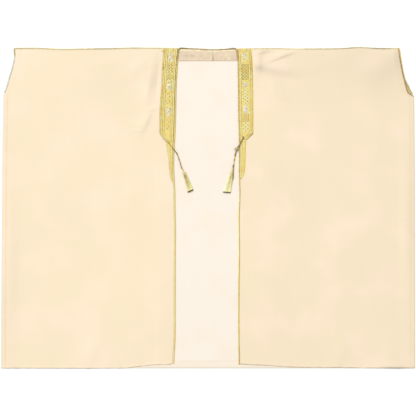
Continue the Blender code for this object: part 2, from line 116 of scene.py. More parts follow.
def makeCamera():
    x, y = camera["middle"]
    bpy.ops.object.camera_add(location=(x, y, camera["height"]), rotation=(0, 0, 0))
    eye = bpy.context.object
    eye.name = "camera"
    eye.data.lens = eye.data.sensor_width * camera["height"] / camera["seenWidth"]
    eye.data.clip_start = 0.05
    eye.data.clip_end = 60
    bpy.context.scene.camera = eye


studio = {
    "floorSize": 30, "floorDrop": 0.0004, "floorColour": colour(252, 252, 252),
    "sky": (1.0, 1.0, 1.0, 1.0), "skyStrength": 0.62, "keyPlace": (-14.5, 14.0, 20.5),
    "keySize": 8.5, "keyPower": 5700,
}


def makeStudio():
    bpy.ops.mesh.primitive_plane_add(size=studio["floorSize"], location=(0, 0, -studio["floorDrop"]))
    floor = bpy.context.object
    floor.name = "floor"
    plain = bpy.data.materials.new("studioFloor")
    plain.use_nodes = True
    matt = {"Base Color": studio["floorColour"], "Roughness": 1.0, "Specular IOR Level": 0.0}
    setInputs(plain.node_tree.nodes["Principled BSDF"], matt)
    floor.data.materials.append(plain)

    # a large soft light from beyond the left shoulder
    bpy.ops.object.light_add(type="AREA", location=studio["keyPlace"])
    key = bpy.context.object
    key.name = "keyLight"
    key.data.shape = "DISK"
    key.data.size = studio["keySize"]
    key.data.energy = studio["keyPower"]
    key.rotation_euler = (-key.location).to_track_quat("-Z", "Y").to_euler()

    world = bpy.data.worlds.new("studio")
    world.use_nodes = True
    sky = {"Color": studio["sky"], "Strength": studio["skyStrength"]}
    setInputs(world.node_tree.nodes["Background"], sky)
    bpy.context.scene.world = world
    bpy.context.scene.view_settings.view_transform = "Standard"


makeCamera()
makeStudio()


# Small shader helpers
def plug(tree, socket, value):
    if isinstance(value, bpy.types.NodeSocket):
        tree.links.new(value, socket)
    else:
        socket.default_value = value


def newNode(tree, kind, inputs=(), **settings):
    # inputs by name or number, each a value or another node's output
    node = tree.nodes.new("ShaderNode" + kind)
    for name, value in settings.items():
        setattr(node, name, value)
    for key, value in dict(inputs).items():
        plug(tree, node.inputs[key], value)
    return node


def math(tree, operation, *values):
    return newNode(tree, "Math", enumerate(values), operation=operation).outputs[0]


def mix(tree, factor, first, second, blend="MIX"):
    inputs = {0: factor, 6: first, 7: second}
    return newNode(tree, "Mix", inputs, data_type="RGBA", blend_type=blend).outputs[2]


def noise(tree, vector, scale, detail=2.0):
    return newNode(tree, "TexNoise", {"Vector": vector, "Scale": scale, "Detail": detail}).outputs["Fac"]


def mapRange(tree, value, low, high, newLow, newHigh):
    return newNode(tree, "MapRange", enumerate((value, low, high, newLow, newHigh))).outputs[0]


def stretch(tree, vector, amounts):
    return newNode(tree, "VectorMath", {0: vector, 1: amounts}, operation="MULTIPLY").outputs[0]


def objectPlace(tree):
    return newNode(tree, "TexCoord").outputs["Object"]


def ownMap(tree, name):
    return newNode(tree, "UVMap", uv_map=name).outputs[0]


def ownValue(tree, name):
    return newNode(tree, "Attribute", attribute_name=name).outputs["Fac"]


def newGroup(name, inputs, outputs):
    # sockets as name and kind
    group = bpy.data.node_groups.new(name, "ShaderNodeTree")
    for way, sockets in (("INPUT", inputs), ("OUTPUT", outputs)):
        for socketName, kind in sockets:
            group.interface.new_socket(socketName, in_out=way, socket_type="NodeSocket" + kind)
    return group, group.nodes.new("NodeGroupInput").outputs, group.nodes.new("NodeGroupOutput").inputs


def useGroup(tree, group, **values):
    return newNode(tree, "Group", values, node_tree=group).outputs


def newMaterial(name, roughness, metallic=0.0, sheen=0.0):
    material = bpy.data.materials.new(name)
    material.use_nodes = True
    shader = material.node_tree.nodes["Principled BSDF"]
    own = {"Roughness": roughness, "Metallic": metallic, "Sheen Weight": sheen, "Sheen Roughness": 0.4}
    setInputs(shader, own)
    return material, material.node_tree, shader


def bump(tree, shader, height, strength, distance):
    node = newNode(tree, "Bump", {"Height": height, "Strength": strength, "Distance": distance})
    plug(tree, shader.inputs["Normal"], node.outputs[0])


# Plain weave: threads over and under, with a few thicker ones
def makeWeaveGroup():
    group, given, put = newGroup(
        "plainWeave",
        [("Place", "Vector"), ("Threads", "Float")],
        [("Height", "Float"), ("Slubs", "Float")],
    )
    parts = newNode(group, "SeparateXYZ", {0: given["Place"]}).outputs
    waves = []
    for axis in ("X", "Y"):
        turn = math(group, "MULTIPLY", math(group, "MULTIPLY", parts[axis], given["Threads"]), pi)
        waves.append(math(group, "SINE", turn))
    over = math(group, "MULTIPLY", *waves)
    plug(group, put["Height"], mapRange(group, over, -1, 1, 0, 1))
    lengthwise = noise(group, stretch(group, given["Place"], (260, 5, 1)), 1.0, 1.0)
    crosswise = noise(group, stretch(group, given["Place"], (5, 260, 1)), 1.0, 1.0)
    both = math(group, "ADD", lengthwise, crosswise)
    plug(group, put["Slubs"], mapRange(group, both, 0.6, 1.4, -1, 1))
    return group


# A soft-edged line at a set distance from an edge
def makeLineGroup():
    group, given, put = newGroup(
        "seamAndHemShadeLine",
        [(name, "Float") for name in ("Distance", "Place", "Width")],
        [("Line", "Float")],
    )
    away = math(group, "ABSOLUTE", math(group, "SUBTRACT", given["Distance"], given["Place"]))
    share = math(group, "DIVIDE", away, given["Width"])
    plug(group, put["Line"], mapRange(group, share, 0.4, 1.0, 1, 0))
    return group


weaveGroup = makeWeaveGroup()
lineGroup = makeLineGroup()

# deepWithin and lines: measured from the side or top ("first") or from the lower edge ("second"); then
# where the deeper colour fades out and how strong it is, and each line's place, half width and strength
clothLook = {
    "front": {
        "main": colour(239, 221, 191), "deep": colour(237, 217, 184),
        "line": colour(196, 176, 146), "patch": colour(243, 223, 196),
        "deepWithin": ("first", 0.0195, 0.0215, 0.35),
        # the second line, at the hem's very edge, is painted shadow under the raised hem as well as a darker
        # thread
        "lines": [("first", 0.0205, 0.001, 0.4), ("second", 0.0, 0.003, 1.0)],
        "patchScale": 5.0, "threads": 2600, "cloud": 0.014, "slub": 0.01,
    },
    "back": {
        "main": colour(243, 233, 219), "deep": colour(239, 222, 196),
        "line": colour(230, 214, 188), "patch": colour(243, 230, 213),
        "deepWithin": ("second", 0.0325, 0.0345, 0.45),
        "lines": [("second", 0.033, 0.0012, 1.0), ("second", 0.0, 0.0018, 1.0)],
        "patchScale": 6.0, "threads": 2600, "cloud": 0.006, "slub": 0.006,
    },
    "facing": {
        "main": colour(220, 200, 170), "deep": colour(250, 238, 198),
        "line": colour(208, 189, 160), "patch": colour(228, 207, 181),
        "deepWithin": ("first", 0.0045, 0.0085, 0.9),
        "lines": [("second", 0.0015, 0.0022, 1.0)],
        "patchScale": 46.0, "threads": 2200, "cloud": 0.05, "slub": 0.05,
    },
}


def makeClothMaterial(name, look):
    material, tree, shader = newMaterial(name, 0.78, sheen=0.1)
    place = objectPlace(tree)
    apart = newNode(tree, "SeparateXYZ", {0: ownMap(tree, "edges")}).outputs
    distance = {"first": apart["X"], "second": apart["Y"]}
    weave = useGroup(tree, weaveGroup, Place=place, Threads=look["threads"])

    which, near, far, amount = look["deepWithin"]
    tone = mix(tree, mapRange(tree, distance[which], near, far, amount, 0), look["main"], look["deep"])
    patches = mapRange(tree, noise(tree, place, look["patchScale"], 2.0), 0.48, 0.66, 0, 1)
    tone = mix(tree, patches, tone, look["patch"])
    # seam lines, and at the front's hem edge a line of painted shadow
    seamsAndHemShade = 0.0
    for which, at, width, clear in look["lines"]:
        line = useGroup(tree, lineGroup, Distance=distance[which], Place=at, Width=width)
        seamsAndHemShade = math(tree, "MAXIMUM", seamsAndHemShade, math(tree, "MULTIPLY", line["Line"], clear))
    # the lines come and go along their length
    broken = mapRange(tree, noise(tree, place, 26.0, 1.0), 0.42, 0.6, 0.35, 1)
    tone = mix(tree, math(tree, "MULTIPLY", seamsAndHemShade, broken), tone, look["line"])

    cloud = mapRange(tree, noise(tree, place, 2.6, 3.0), 0.3, 0.7, -look["cloud"], look["cloud"])
    slub = math(tree, "MULTIPLY", weave["Slubs"], look["slub"])
    # the point's painted shade and light, and its soiling, darken or lighten the colour
    shade = math(tree, "ADD", math(tree, "ADD", cloud, slub), ownValue(tree, "shadeAndSoil"))
    shadeColour = newNode(tree, "CombineColor", enumerate([shade] * 3)).outputs[0]
    plug(tree, shader.inputs["Base Color"], mix(tree, 1.0, tone, shadeColour, "MULTIPLY"))
    height = math(tree, "SUBTRACT", weave["Height"], math(tree, "MULTIPLY", seamsAndHemShade, 2.0))
    bump(tree, shader, height, 0.25, 0.0002)
    return material


clothMaterial = {name: makeClothMaterial(name + "Cloth", look) for name, look in clothLook.items()}


# Metal-wrapped thread: tone runs from dark to pale along and between threads
def makeThreadGroup():
    group, given, put = newGroup(
        "wrappedThread",
        [("Along", "Vector"), ("Tone", "Float"), ("Wraps", "Float")],
        [("Tone", "Float"), ("Height", "Float")],
    )
    parts = newNode(group, "SeparateXYZ", {0: given["Along"]}).outputs
    turns = math(group, "ADD", math(group, "MULTIPLY", parts["Y"], given["Wraps"]), parts["X"])
    wave = math(group, "SINE", math(group, "MULTIPLY", turns, tau))
    glints = noise(group, stretch(group, given["Along"], (0.6, 420, 1)), 1.0, 2.0)
    patches = noise(group, stretch(group, given["Along"], (0.2, 60, 1)), 1.0, 1.0)
    lift = mapRange(group, glints, 0.3, 0.7, -0.16, 0.16)
    lift = math(group, "ADD", lift, math(group, "MULTIPLY", wave, 0.06))
    lift = math(group, "ADD", lift, mapRange(group, patches, 0.35, 0.65, -0.08, 0.08))
    plug(group, put["Tone"], math(group, "ADD", given["Tone"], lift))
    plug(group, put["Height"], wave)
    return group


threadGroup = makeThreadGroup()

# four colours from dark to pale and where the two in between stand, the colour that older stretches are
# multiplied by, roughness, metallic, wraps of metal for each metre of thread
ThreadLook = namedtuple("ThreadLook", "colours between older roughness metallic wraps")
threadLook = {
    "gold": ThreadLook(
        ((126, 102, 46), (206, 185, 106), (243, 226, 146), (255, 250, 194)),
        (0.3, 0.6), (255, 245, 226), 0.45, 0.2, 900,
    ),
    "paleGold": ThreadLook(
        ((82, 62, 34), (196, 180, 116), (241, 234, 178), (254, 252, 220)),
        (0.3, 0.6), (255, 250, 234), 0.5, 0.12, 900,
    ),
    "darkGold": ThreadLook(
        ((88, 68, 32), (150, 127, 72), (200, 178, 114), (236, 220, 162)),
        (0.4, 0.7), (255, 244, 226), 0.5, 0.25, 700,
    ),
    "bronze": ThreadLook(
        ((98, 66, 26), (164, 130, 70), (208, 178, 112), (240, 220, 160)),
        (0.4, 0.7), (255, 243, 226), 0.5, 0.25, 700,
    ),
    "silver": ThreadLook(
        ((186, 168, 104), (224, 215, 166), (243, 239, 212), (254, 254, 246)),
        (0.4, 0.7), (247, 243, 248), 0.4, 0.2, 900,
    ),
}


def makeThreadMaterial(name):
    look = threadLook[name]
    material, tree, shader = newMaterial(name + "Thread", look.roughness, look.metallic)
    own = {"Along": ownMap(tree, "thread"), "Tone": ownValue(tree, "tone"), "Wraps": look.wraps}
    worked = useGroup(tree, threadGroup, **own)
    ramp = newNode(tree, "ValToRGB", {0: worked["Tone"]})
    points = ramp.color_ramp.elements
    while len(points) < len(look.colours):
        points.new(0.5)
    for point, at, screenColour in zip(points, (0.0, *look.between, 1.0), look.colours):
        point.position = at
        point.color = colour(*screenColour)
    # older and newer thread: some stretches are warmer
    older = mapRange(tree, noise(tree, objectPlace(tree), 34.0, 1.0), 0.42, 0.6, 0, 1)
    darkerStretches = mix(tree, 1.0, ramp.outputs[0], colour(*look.older), "MULTIPLY")
    plug(tree, shader.inputs["Base Color"], mix(tree, older, ramp.outputs[0], darkerStretches))
    bump(tree, shader, worked["Height"], 0.4, 0.00015)
    return material


threadMaterial = {name: makeThreadMaterial(name) for name in threadLook}


# Curves of the cut
outline = {
    # distance from the middle line, sag of the shoulder edge there
    "shoulder": (
        (-0.85, 0.004), (-0.756, 0.0026), (-0.646, 0.007), (-0.559, 0.0061), (-0.428, 0.0048),
        (-0.34, 0.0018), (-0.231, 0.0018), (-0.104, 0.0044), (-0.034, 0.0066), (0.019, 0.0096),
        (0.062, 0.0083), (0.115, 0.0057), (0.229, 0.0039), (0.447, 0.0061), (0.579, 0.0048),
        (0.675, 0.0), (0.754, 0.0061), (0.842, 0.002),
    ),
    # drop, distance of the front edge's cord from the middle line
    "frontLeft": (
        (0.0, 0.1265), (0.048, 0.132), (0.135, 0.1385), (0.28, 0.1424), (0.398, 0.1463), (0.468, 0.1505),
        (0.53, 0.1508), (0.625, 0.1463), (0.7, 0.1452), (0.8, 0.1432), (0.9, 0.1441), (1.107, 0.1447),
        (1.308, 0.1462), (1.378, 0.15),
    ),
    "frontRight": (
        (0.0, 0.1265), (0.043, 0.1302), (0.135, 0.1328), (0.28, 0.1343), (0.398, 0.1368), (0.45, 0.1372),
        (0.555, 0.1367), (0.63, 0.1386), (0.748, 0.1352), (0.85, 0.1364), (0.93, 0.1362), (1.03, 0.1347),
        (1.308, 0.135), (1.378, 0.1365),
    ),
    # drop, inset of the hand opening from the widest line
    "openingLeft": (
        (0.0, 0.0575), (0.036, 0.0595), (0.063, 0.0552), (0.098, 0.0468), (0.137, 0.035), (0.18, 0.0214),
        (0.205, 0.0105),
    ),
    "openingRight": (
        (0.0, 0.069), (0.045, 0.0628), (0.095, 0.054), (0.145, 0.0415), (0.175, 0.0268), (0.197, 0.0165),
        (0.2125, 0.0035),
    ),
    # drop, how far the front's opening edge draws back from the back's
    "drawnBackLeft": ((0.0, 0.0), (0.205, 0.0)),
    "drawnBackRight": (
        (0.0, 0.0), (0.14, 0.0), (0.158, 0.004), (0.176, 0.0085), (0.196, 0.011), (0.2035, 0.0095),
        (0.2125, 0.0),
    ),
    # drop, inset of the closed side from the widest line
    "sideLeft": ((0.205, 0.0105), (0.45, 0.006), (0.8, 0.003), (1.405, 0.0)),
    "sideRight": ((0.2125, 0.0035), (0.5, 0.0015), (0.9, 0.0006), (1.405, 0.0)),
    # distance from the front edge, how far the front's hem lies above the back's
    "hemLeft": (
        (0.0, 0.021), (0.01, 0.0178), (0.035, 0.0165), (0.07, 0.0158), (0.1, 0.014), (0.13, 0.01),
        (0.16, 0.007), (0.2, 0.0012), (0.26, 0.0006), (0.8, 0.0006),
    ),
    "hemRight": (
        (0.0, 0.0175), (0.022, 0.0166), (0.048, 0.0149), (0.092, 0.0136), (0.157, 0.0096),
        (0.223, 0.0053), (0.29, 0.0039), (0.44, 0.0035), (0.6, 0.0009), (0.8, 0.0009),
    ),
}
# drop from which a front begins to lie higher than the back, as its hem does
hemTurn = 1.2


def named(kind, side):
    return outline[sided(kind, side)]


def through(rows, at):
    # smooth curve through a table's rows
    x, y = np.array(rows, float).T
    slope = np.gradient(y, x)
    at = np.clip(at, x[0], x[-1])
    i = np.clip(np.searchsorted(x, at, side="right") - 1, 0, len(x) - 2)
    step = x[i + 1] - x[i]
    t = (at - x[i]) / step
    return (
        (2 * t**3 - 3 * t**2 + 1) * y[i]
        + (t**3 - 2 * t**2 + t) * step * slope[i]
        + (3 * t**2 - 2 * t**3) * y[i + 1]
        + (t**3 - t**2) * step * slope[i + 1]
    )


def straight(rows, at):
    x, y = np.array(rows, float).T
    return np.interp(at, x, y)


def ease(share):
    share = np.clip(share, 0, 1)
    return share * share * (3 - 2 * share)


def topY(x):
    return shoulderY - through(outline["shoulder"], x)


def sheetY(x, drop):
    high = topY(x)
    return high + (hemY - high) * drop / hemDrop


def openingEnd(side):
    return named("opening", side)[-1][0]


def openingLine(side, drop):
    opening = through(named("opening", side), drop)
    closed = through(named("side", side), drop)
    return sideX - np.where(drop < openingEnd(side), opening, closed)


def frontOpeningLine(side, drop):
    return openingLine(side, drop) - straight(named("drawnBack", side), drop)


def beside(line, side, drop, distance):
    # the line, shifted outwards square to itself
    step = 0.002
    slope = (line(side, drop + step) - line(side, drop - step)) / (2 * step)
    return line(side, drop) + distance * np.sqrt(1 + slope**2)


def backEdge(side, drop):
    return openingLine(side, drop) - gap / 2


# the last stretch of the opening, along which the front's edge runs out to the side
openingTurn = 0.009


def frontOuterEdge(side, drop):
    cloth = beside(frontOpeningLine, side, drop, -garment["armholeCord"] - 1.5 * gap)
    turned = ease((drop - openingEnd(side) + openingTurn) / openingTurn)
    return cloth + (backEdge(side, drop) - cloth) * turned


def cordLine(side, drop):
    # distance of the front edge's cord from the middle line
    return through(named("front", side), drop)


def frontEdge(side, drop):
    return cordLine(side, drop) + garment["edgeCord"] / 2 + gap


def frontY(side, drop, out):
    lift = through(named("hem", side), out - frontEdge(side, hemDrop))
    share = ease((drop - hemTurn) / (hemDrop - hemTurn))
    return sheetY(sideSign[side] * out, drop) + lift * share


# Meshes of cords and threads
def distances(route):
    # how far along the route each of its points is
    return np.concatenate([[0], np.cumsum(np.linalg.norm(np.diff(route, axis=0), axis=1))])


def evenly(route, step, between=np.interp):
    # the same route with points an even step apart
    along = distances(route)
    at = np.linspace(0, along[-1], ceil(along[-1] / step) + 1)
    return np.stack([between(at, along, column) for column in np.transpose(route)], axis=-1)


def lengthOf(route):
    return float(np.linalg.norm(np.diff(route, axis=0), axis=1).sum())


def newPiece(name, points, faces, maps=None, values=None):
    # maps and values as a name and its numbers: two for each corner of a face, one for each point
    mesh = bpy.data.meshes.new(name)
    mesh.from_pydata(np.concatenate(points).tolist(), [], faces)
    if maps:
        mesh.uv_layers.new(name=maps[0]).data.foreach_set("uv", maps[1].astype(np.float32).ravel())
        own = mesh.attributes.new(values[0], "FLOAT", "POINT")
        own.data.foreach_set("value", np.concatenate(values[1]).astype(np.float32))
    mesh.shade_smooth()
    piece = bpy.data.objects.new(name, mesh)
    bpy.context.scene.collection.objects.link(piece)
    return piece


def crossDirections(route):
    # a sideways and an upward direction at each point of a route that lies on the cloth
    ahead = np.gradient(route, axis=0)
    ahead /= np.linalg.norm(ahead, axis=1)[:, None]
    across = np.cross(ahead, (0, 0, 1))
    across /= np.maximum(np.linalg.norm(across, axis=1), 1e-9)[:, None]
    return across, np.cross(across, ahead)


Thread = namedtuple("Thread", "route wide high tone")


def threadMesh(name, threads, sides=6):
    # one mesh of many closed tubes; a thread's half width, half height and tone are one number, or one
    # for each point, and the map's second number is the distance along the thread in metres
    angles = np.arange(sides) * tau / sides
    points, quads, caps, quadMap, capMap, tones = [], [], [], [], [], []
    base = 0
    for thread in threads:
        route = np.asarray(thread.route, float)
        count = len(route)
        across, up = crossDirections(route)
        wide, high, tone = (np.broadcast_to(value, count) for value in thread[1:])
        ring = across[:, None] * (wide[:, None] * np.cos(angles))[..., None]
        ring = ring + up[:, None] * (high[:, None] * np.sin(angles))[..., None]
        points.append((route[:, None] + ring).reshape(-1, 3))
        tones.append(np.repeat(tone, sides))
        along = distances(route)
        r, k = (grid.ravel() for grid in np.meshgrid(np.arange(count - 1), np.arange(sides), indexing="ij"))
        after = (k + 1) % sides
        here, there = base + r * sides, base + (r + 1) * sides
        quads.append(stacked(here + k, there + k, there + after, here + after))
        u0, u1, v0, v1 = k / sides, (k + 1) / sides, along[r], along[r + 1]
        quadMap.append(stacked(u0, v0, u0, v1, u1, v1, u1, v0).reshape(-1, 2))
        first = base + np.arange(sides)
        caps += [first.tolist(), (first[::-1] + (count - 1) * sides).tolist()]
        capMap += [[(u / sides, end) for u in range(sides)] for end in (0, along[-1])]
        base += count * sides
    mapped = np.concatenate([np.concatenate(quadMap), np.array(capMap).reshape(-1, 2)])
    return newPiece(name, points, np.concatenate(quads).tolist() + caps, ("thread", mapped), ("tone", tones))


def threadPiece(name, threads, look, *nodes, sides=6, slot="gold_thread"):
    piece = threadMesh(name, threads, sides)
    finishPiece(piece, threadMaterial[look], slot, *nodes)
    return piece


# by the number of strands: how far each is from the cord's middle and its half width, as shares of the
# cord's diameter; neighbours press into each other
strandShares = {2: (0.2, 0.3), 3: (0.268, 0.232)}


def twisted(route, diameter, pitch, tones, step):
    # the strands of a twisted cord
    route = evenly(route, step)
    across, up = crossDirections(route)
    along = np.arange(len(route)) * lengthOf(route) / (len(route) - 1)
    orbit, half = strandShares[len(tones)]
    strands = []
    for number, tone in enumerate(tones):
        angle = (tau * (along / pitch + number / len(tones)))[:, None]
        middle = route + diameter * orbit * (across * np.cos(angle) + up * np.sin(angle))
        strands.append(Thread(middle, diameter * half, diameter * half, tone))
    return strands


# a stitch over a cord: sideways and up from the cord's middle in radii, and forward in slants
whipShape = ((-1.02, 0.05, -0.5), (-0.74, 0.8, -0.3), (0.0, 1.12, 0.0), (0.78, 0.84, 0.2), (1.22, 0.3, 0.4))


def whipped(route, diameter, towards, landing, plan):
    # short stitches over a cord, from its free side to the cloth beside it
    route = evenly(route, plan.every)[1:-1]
    across, up = crossDirections(route)
    ahead = np.cross(up, across)
    radius = diameter / 2
    landing = np.broadcast_to(landing(route) if callable(landing) else landing, len(route))
    shape = (*whipShape, (1.15 + plan.reach / radius, None, 0.6))
    threads = []
    for number, middle in enumerate(route):
        points = []
        for sideways, height, forward in shape:
            aside = towards * across[number] * sideways * radius
            point = middle + aside + ahead[number] * forward * plan.slant
            point[2] = landing[number] if height is None else middle[2] + height * radius
            points.append(point)
        tone = plan.tone + plan.toneStep * (number % 3 - 1)
        threads.append(Thread(np.array(points), plan.half, plan.half * 0.8, tone))
    return threads


def toned(threads, rows, measure):
    # the same threads, darker or paler along their route
    return [t._replace(tone=np.clip(t.tone + straight(rows, measure(t.route)), 0, 1)) for t in threads]


def pressed(threads, share):
    # the same threads, with what stands above the fronts brought down to a share of its height
    flat = []
    for thread in threads:
        route = thread.route.copy()
        proud = np.maximum(route[:, 2] - frontTop, 0)
        route[:, 2] -= proud * (1 - share)
        flat.append(thread._replace(route=route, high=thread.high * (1 + share) / 2))
    return flat


def dropOf(route):
    return shoulderY - route[:, 1]


def acrossOf(route):
    return route[:, 0]


# Free cords, whose points are those of the solids
print("tassel cords")
# heights of a cord's middle on a band and on its edge's cord
overBand = 0.0075
overEdge = 0.0096
# paler: drop, change of tone
freeCord = {
    "diameter": 0.005, "step": 0.0012,
    "left": {
        "points": (
            (-0.1755, 0.288, overBand), (-0.1655, 0.2762, overBand), (-0.158, 0.266, 0.0088),
            (-0.1505, 0.256, overEdge), (-0.1425, 0.2466, 0.0076), (-0.1355, 0.2365, 0.0052),
            (-0.1298, 0.2235, 0.004), (-0.125, 0.2085, 0.004), (-0.12, 0.191, 0.004),
            (-0.1145, 0.1745, 0.0052), (-0.1089, 0.1632, 0.0074), (-0.1069, 0.1584, 0.0077),
        ),
        "pitch": 0.044, "tones": (0.36, 0.66),
        "paler": (
            (0.412, 0.2), (0.434, 0.16), (0.444, -0.2), (0.462, -0.16), (0.485, 0.16), (0.505, 0.1),
            (0.522, -0.24), (0.538, 0.4),
        ),
    },
    "right": {
        "points": (
            (0.158, 0.3105, overBand), (0.151, 0.299, overBand), (0.1445, 0.287, 0.0088),
            (0.138, 0.275, overEdge), (0.1318, 0.265, 0.0084), (0.1268, 0.2555, 0.0066),
            (0.1228, 0.2435, 0.0048), (0.1188, 0.227, 0.004), (0.1152, 0.209, 0.004),
            (0.1125, 0.1905, 0.004), (0.1092, 0.174, 0.0052), (0.1058, 0.1625, 0.0074),
            (0.1046, 0.1575, 0.0077),
        ),
        "pitch": 0.022, "tones": (0.36, 0.66),
        "paler": (
            (0.39, -0.1), (0.44, -0.06), (0.456, -0.22), (0.474, -0.26), (0.481, 0.6), (0.488, 0.6),
            (0.494, -0.26), (0.499, 0.6), (0.51, 0.6), (0.522, -0.34), (0.534, 0.5),
        ),
    },
}


def smoothRoute(points, step):
    return evenly(points, step, lambda at, along, column: through(np.column_stack([along, column]), at))


def makeFreeCord(side):
    plan = freeCord[side]
    route = smoothRoute(plan["points"], freeCord["step"])
    strands = twisted(route, freeCord["diameter"], plan["pitch"], plan["tones"], freeCord["step"])
    threads = toned(strands, plan["paler"], dropOf)
    return threadPiece(sided("tasselCord", side), threads, "darkGold", "tassel_cord_" + side, sides=8), route


freeCords = {side: makeFreeCord(side) for side in sideSign}

# The right cord has a knot at the band's corner, with two loops and a loose strand
cordKnot = {
    "middle": (0.1262, 0.255, 0.0084), "loopHalf": 0.0042, "turns": 3, "long": 0.008,
    "threadHalf": 0.0013, "looseHalf": 0.001,
    "loops": ((0.1338, 0.2612, 0.0062), (0.1226, 0.2548, 0.0058)),
    "loose": (
        (0.1248, 0.253, 0.0086), (0.1212, 0.244, 0.0048), (0.117, 0.229, 0.0034), (0.115, 0.208, 0.0032),
        (0.114, 0.184, 0.0032), (0.113, 0.16, 0.0032), (0.1121, 0.14, 0.0032), (0.1108, 0.122, 0.003),
    ),
}


def makeCordKnot():
    plan = cordKnot
    # along the cord where the knot sits
    points = np.array(freeCord["right"]["points"])
    ahead = points[6] - points[4]
    ahead = ahead * (1, 1, 0) / np.linalg.norm(ahead[:2])
    across = np.array([-ahead[1], ahead[0], 0])
    turns = np.linspace(0, 1, 60)
    angle = (tau * plan["turns"] * turns)[:, None]
    swell = (plan["loopHalf"] * (0.72 + 0.28 * np.sin(pi * turns)))[:, None]
    wound = np.array(plan["middle"]) + ahead * (plan["long"] * (turns - 0.5))[:, None]
    wound = wound + across * swell * np.cos(angle) + np.array([0, 0, 0.8]) * swell * np.sin(angle)
    # the winding's tone follows its height: painted light on top and painted shade underneath
    threads = [Thread(wound, plan["threadHalf"], plan["threadHalf"], 0.14 + 0.22 * np.sin(angle[:, 0]))]
    for x, y, half in plan["loops"]:
        turn = np.linspace(0, tau, 20)
        height = plan["middle"][2] + 0.001 * np.sin(turn)
        loop = stacked(x + half * 0.8 * np.cos(turn), y + half * np.sin(turn), height)
        threads.append(Thread(loop, plan["threadHalf"], plan["looseHalf"], 0.1))
    loose = smoothRoute(plan["loose"], 0.0015)
    threads.append(Thread(loose, plan["looseHalf"], plan["looseHalf"], np.linspace(0.45, 0.0, len(loose))))
    return threadPiece("tasselCordKnot", threads, "gold")


knot = makeCordKnot()


# Cloth: thin shells on the solids' forms
print("cloth")
# folds, which the solids have too, then finer ones near the bands and faint ones further out. Lean makes
# one flank steeper, the one at a larger drop (or, on an upright crease, nearer the band). On the back and
# the facing, out is the place across, right of the middle
Crease = namedtuple("Crease", "out drop length width heading height lean", defaults=(0.0,))
creases = {
    "left": (
        (0.251, 0.148, 0.18, 0.026, 82, 0.0056, 0.25), (0.272, 0.33, 0.1, 0.02, 65, 0.0034, 0.4),
        (0.3, 0.08, 0.12, 0.03, 40, 0.0026), (0.862, 0.93, 0.56, 0.028, 90, 0.0034),
        (0.505, 1.33, 0.16, 0.04, 60, 0.003), (0.236, 0.076, 0.05, 0.01, 20, 0.0008, 0.3),
        (0.262, 0.165, 0.13, 0.008, 83, 0.0012, -0.3), (0.215, 0.125, 0.12, 0.008, 84, -0.0012),
        (0.24, 0.272, 0.05, 0.007, 12, 0.0012, 0.4), (0.312, 0.338, 0.08, 0.012, 158, 0.0012),
        (0.303, 0.366, 0.066, 0.006, 178, 0.001, -0.4), (0.2, 0.432, 0.034, 0.008, 30, 0.0012, 0.3),
        (0.42, 0.06, 0.2, 0.022, 12, 0.0009), (0.56, 0.12, 0.26, 0.03, 150, 0.0007),
        (0.7, 0.3, 0.32, 0.03, 104, 0.0008), (0.34, 0.62, 0.36, 0.026, 84, 0.0006),
        (0.6, 0.82, 0.42, 0.036, 96, 0.0006), (0.45, 1.12, 0.3, 0.03, 76, 0.0007),
        (0.7, 1.33, 0.14, 0.022, 110, 0.001),
    ),
    "right": (
        (0.322, 0.037, 0.14, 0.016, 158, 0.005, -0.55), (0.288, 0.088, 0.17, 0.03, 9, 0.01, 0.2),
        (0.303, 0.19, 0.11, 0.026, 50, 0.0024), (0.77, 0.07, 0.24, 0.05, 150, 0.0042),
        (0.868, 0.8, 0.7, 0.024, 90, 0.003), (0.8, 1.35, 0.14, 0.035, 70, 0.0032),
        (0.58, 1.345, 0.12, 0.035, 100, 0.0024), (0.222, 0.062, 0.09, 0.016, 92, 0.003, -0.2),
        (0.226, 0.08, 0.064, 0.018, 12, 0.0036, 0.2), (0.238, 0.017, 0.042, 0.011, 162, 0.004, -0.3),
        (0.286, 0.188, 0.07, 0.01, 72, 0.001, 0.3), (0.32, 0.212, 0.05, 0.012, 40, 0.0012),
        (0.45, 0.085, 0.18, 0.024, 172, 0.001), (0.62, 0.16, 0.24, 0.03, 30, 0.0009),
        (0.74, 0.34, 0.3, 0.03, 80, 0.0009), (0.38, 0.56, 0.38, 0.028, 94, 0.0006),
        (0.56, 0.9, 0.46, 0.036, 86, 0.0007), (0.42, 1.24, 0.26, 0.026, 104, 0.0007),
    ),
    "back": (
        (-0.03, 0.42, 0.5, 0.02, 88, 0.0004), (0.05, 0.76, 0.42, 0.022, 93, 0.0004),
        (-0.06, 1.08, 0.3, 0.018, 82, 0.0004), (0.02, 1.24, 0.22, 0.016, 99, 0.0004),
    ),
    "facing": (
        (0.08, 0.036, 0.034, 0.0026, 118, 0.0011), (0.094, 0.04, 0.03, 0.0024, 122, 0.0009),
        (0.06, 0.03, 0.03, 0.003, 120, 0.0007), (-0.06, 0.03, 0.04, 0.0045, 30, 0.001),
        (-0.02, 0.042, 0.03, 0.004, 150, 0.0009), (-0.095, 0.04, 0.036, 0.004, 70, 0.0008),
    ),
}
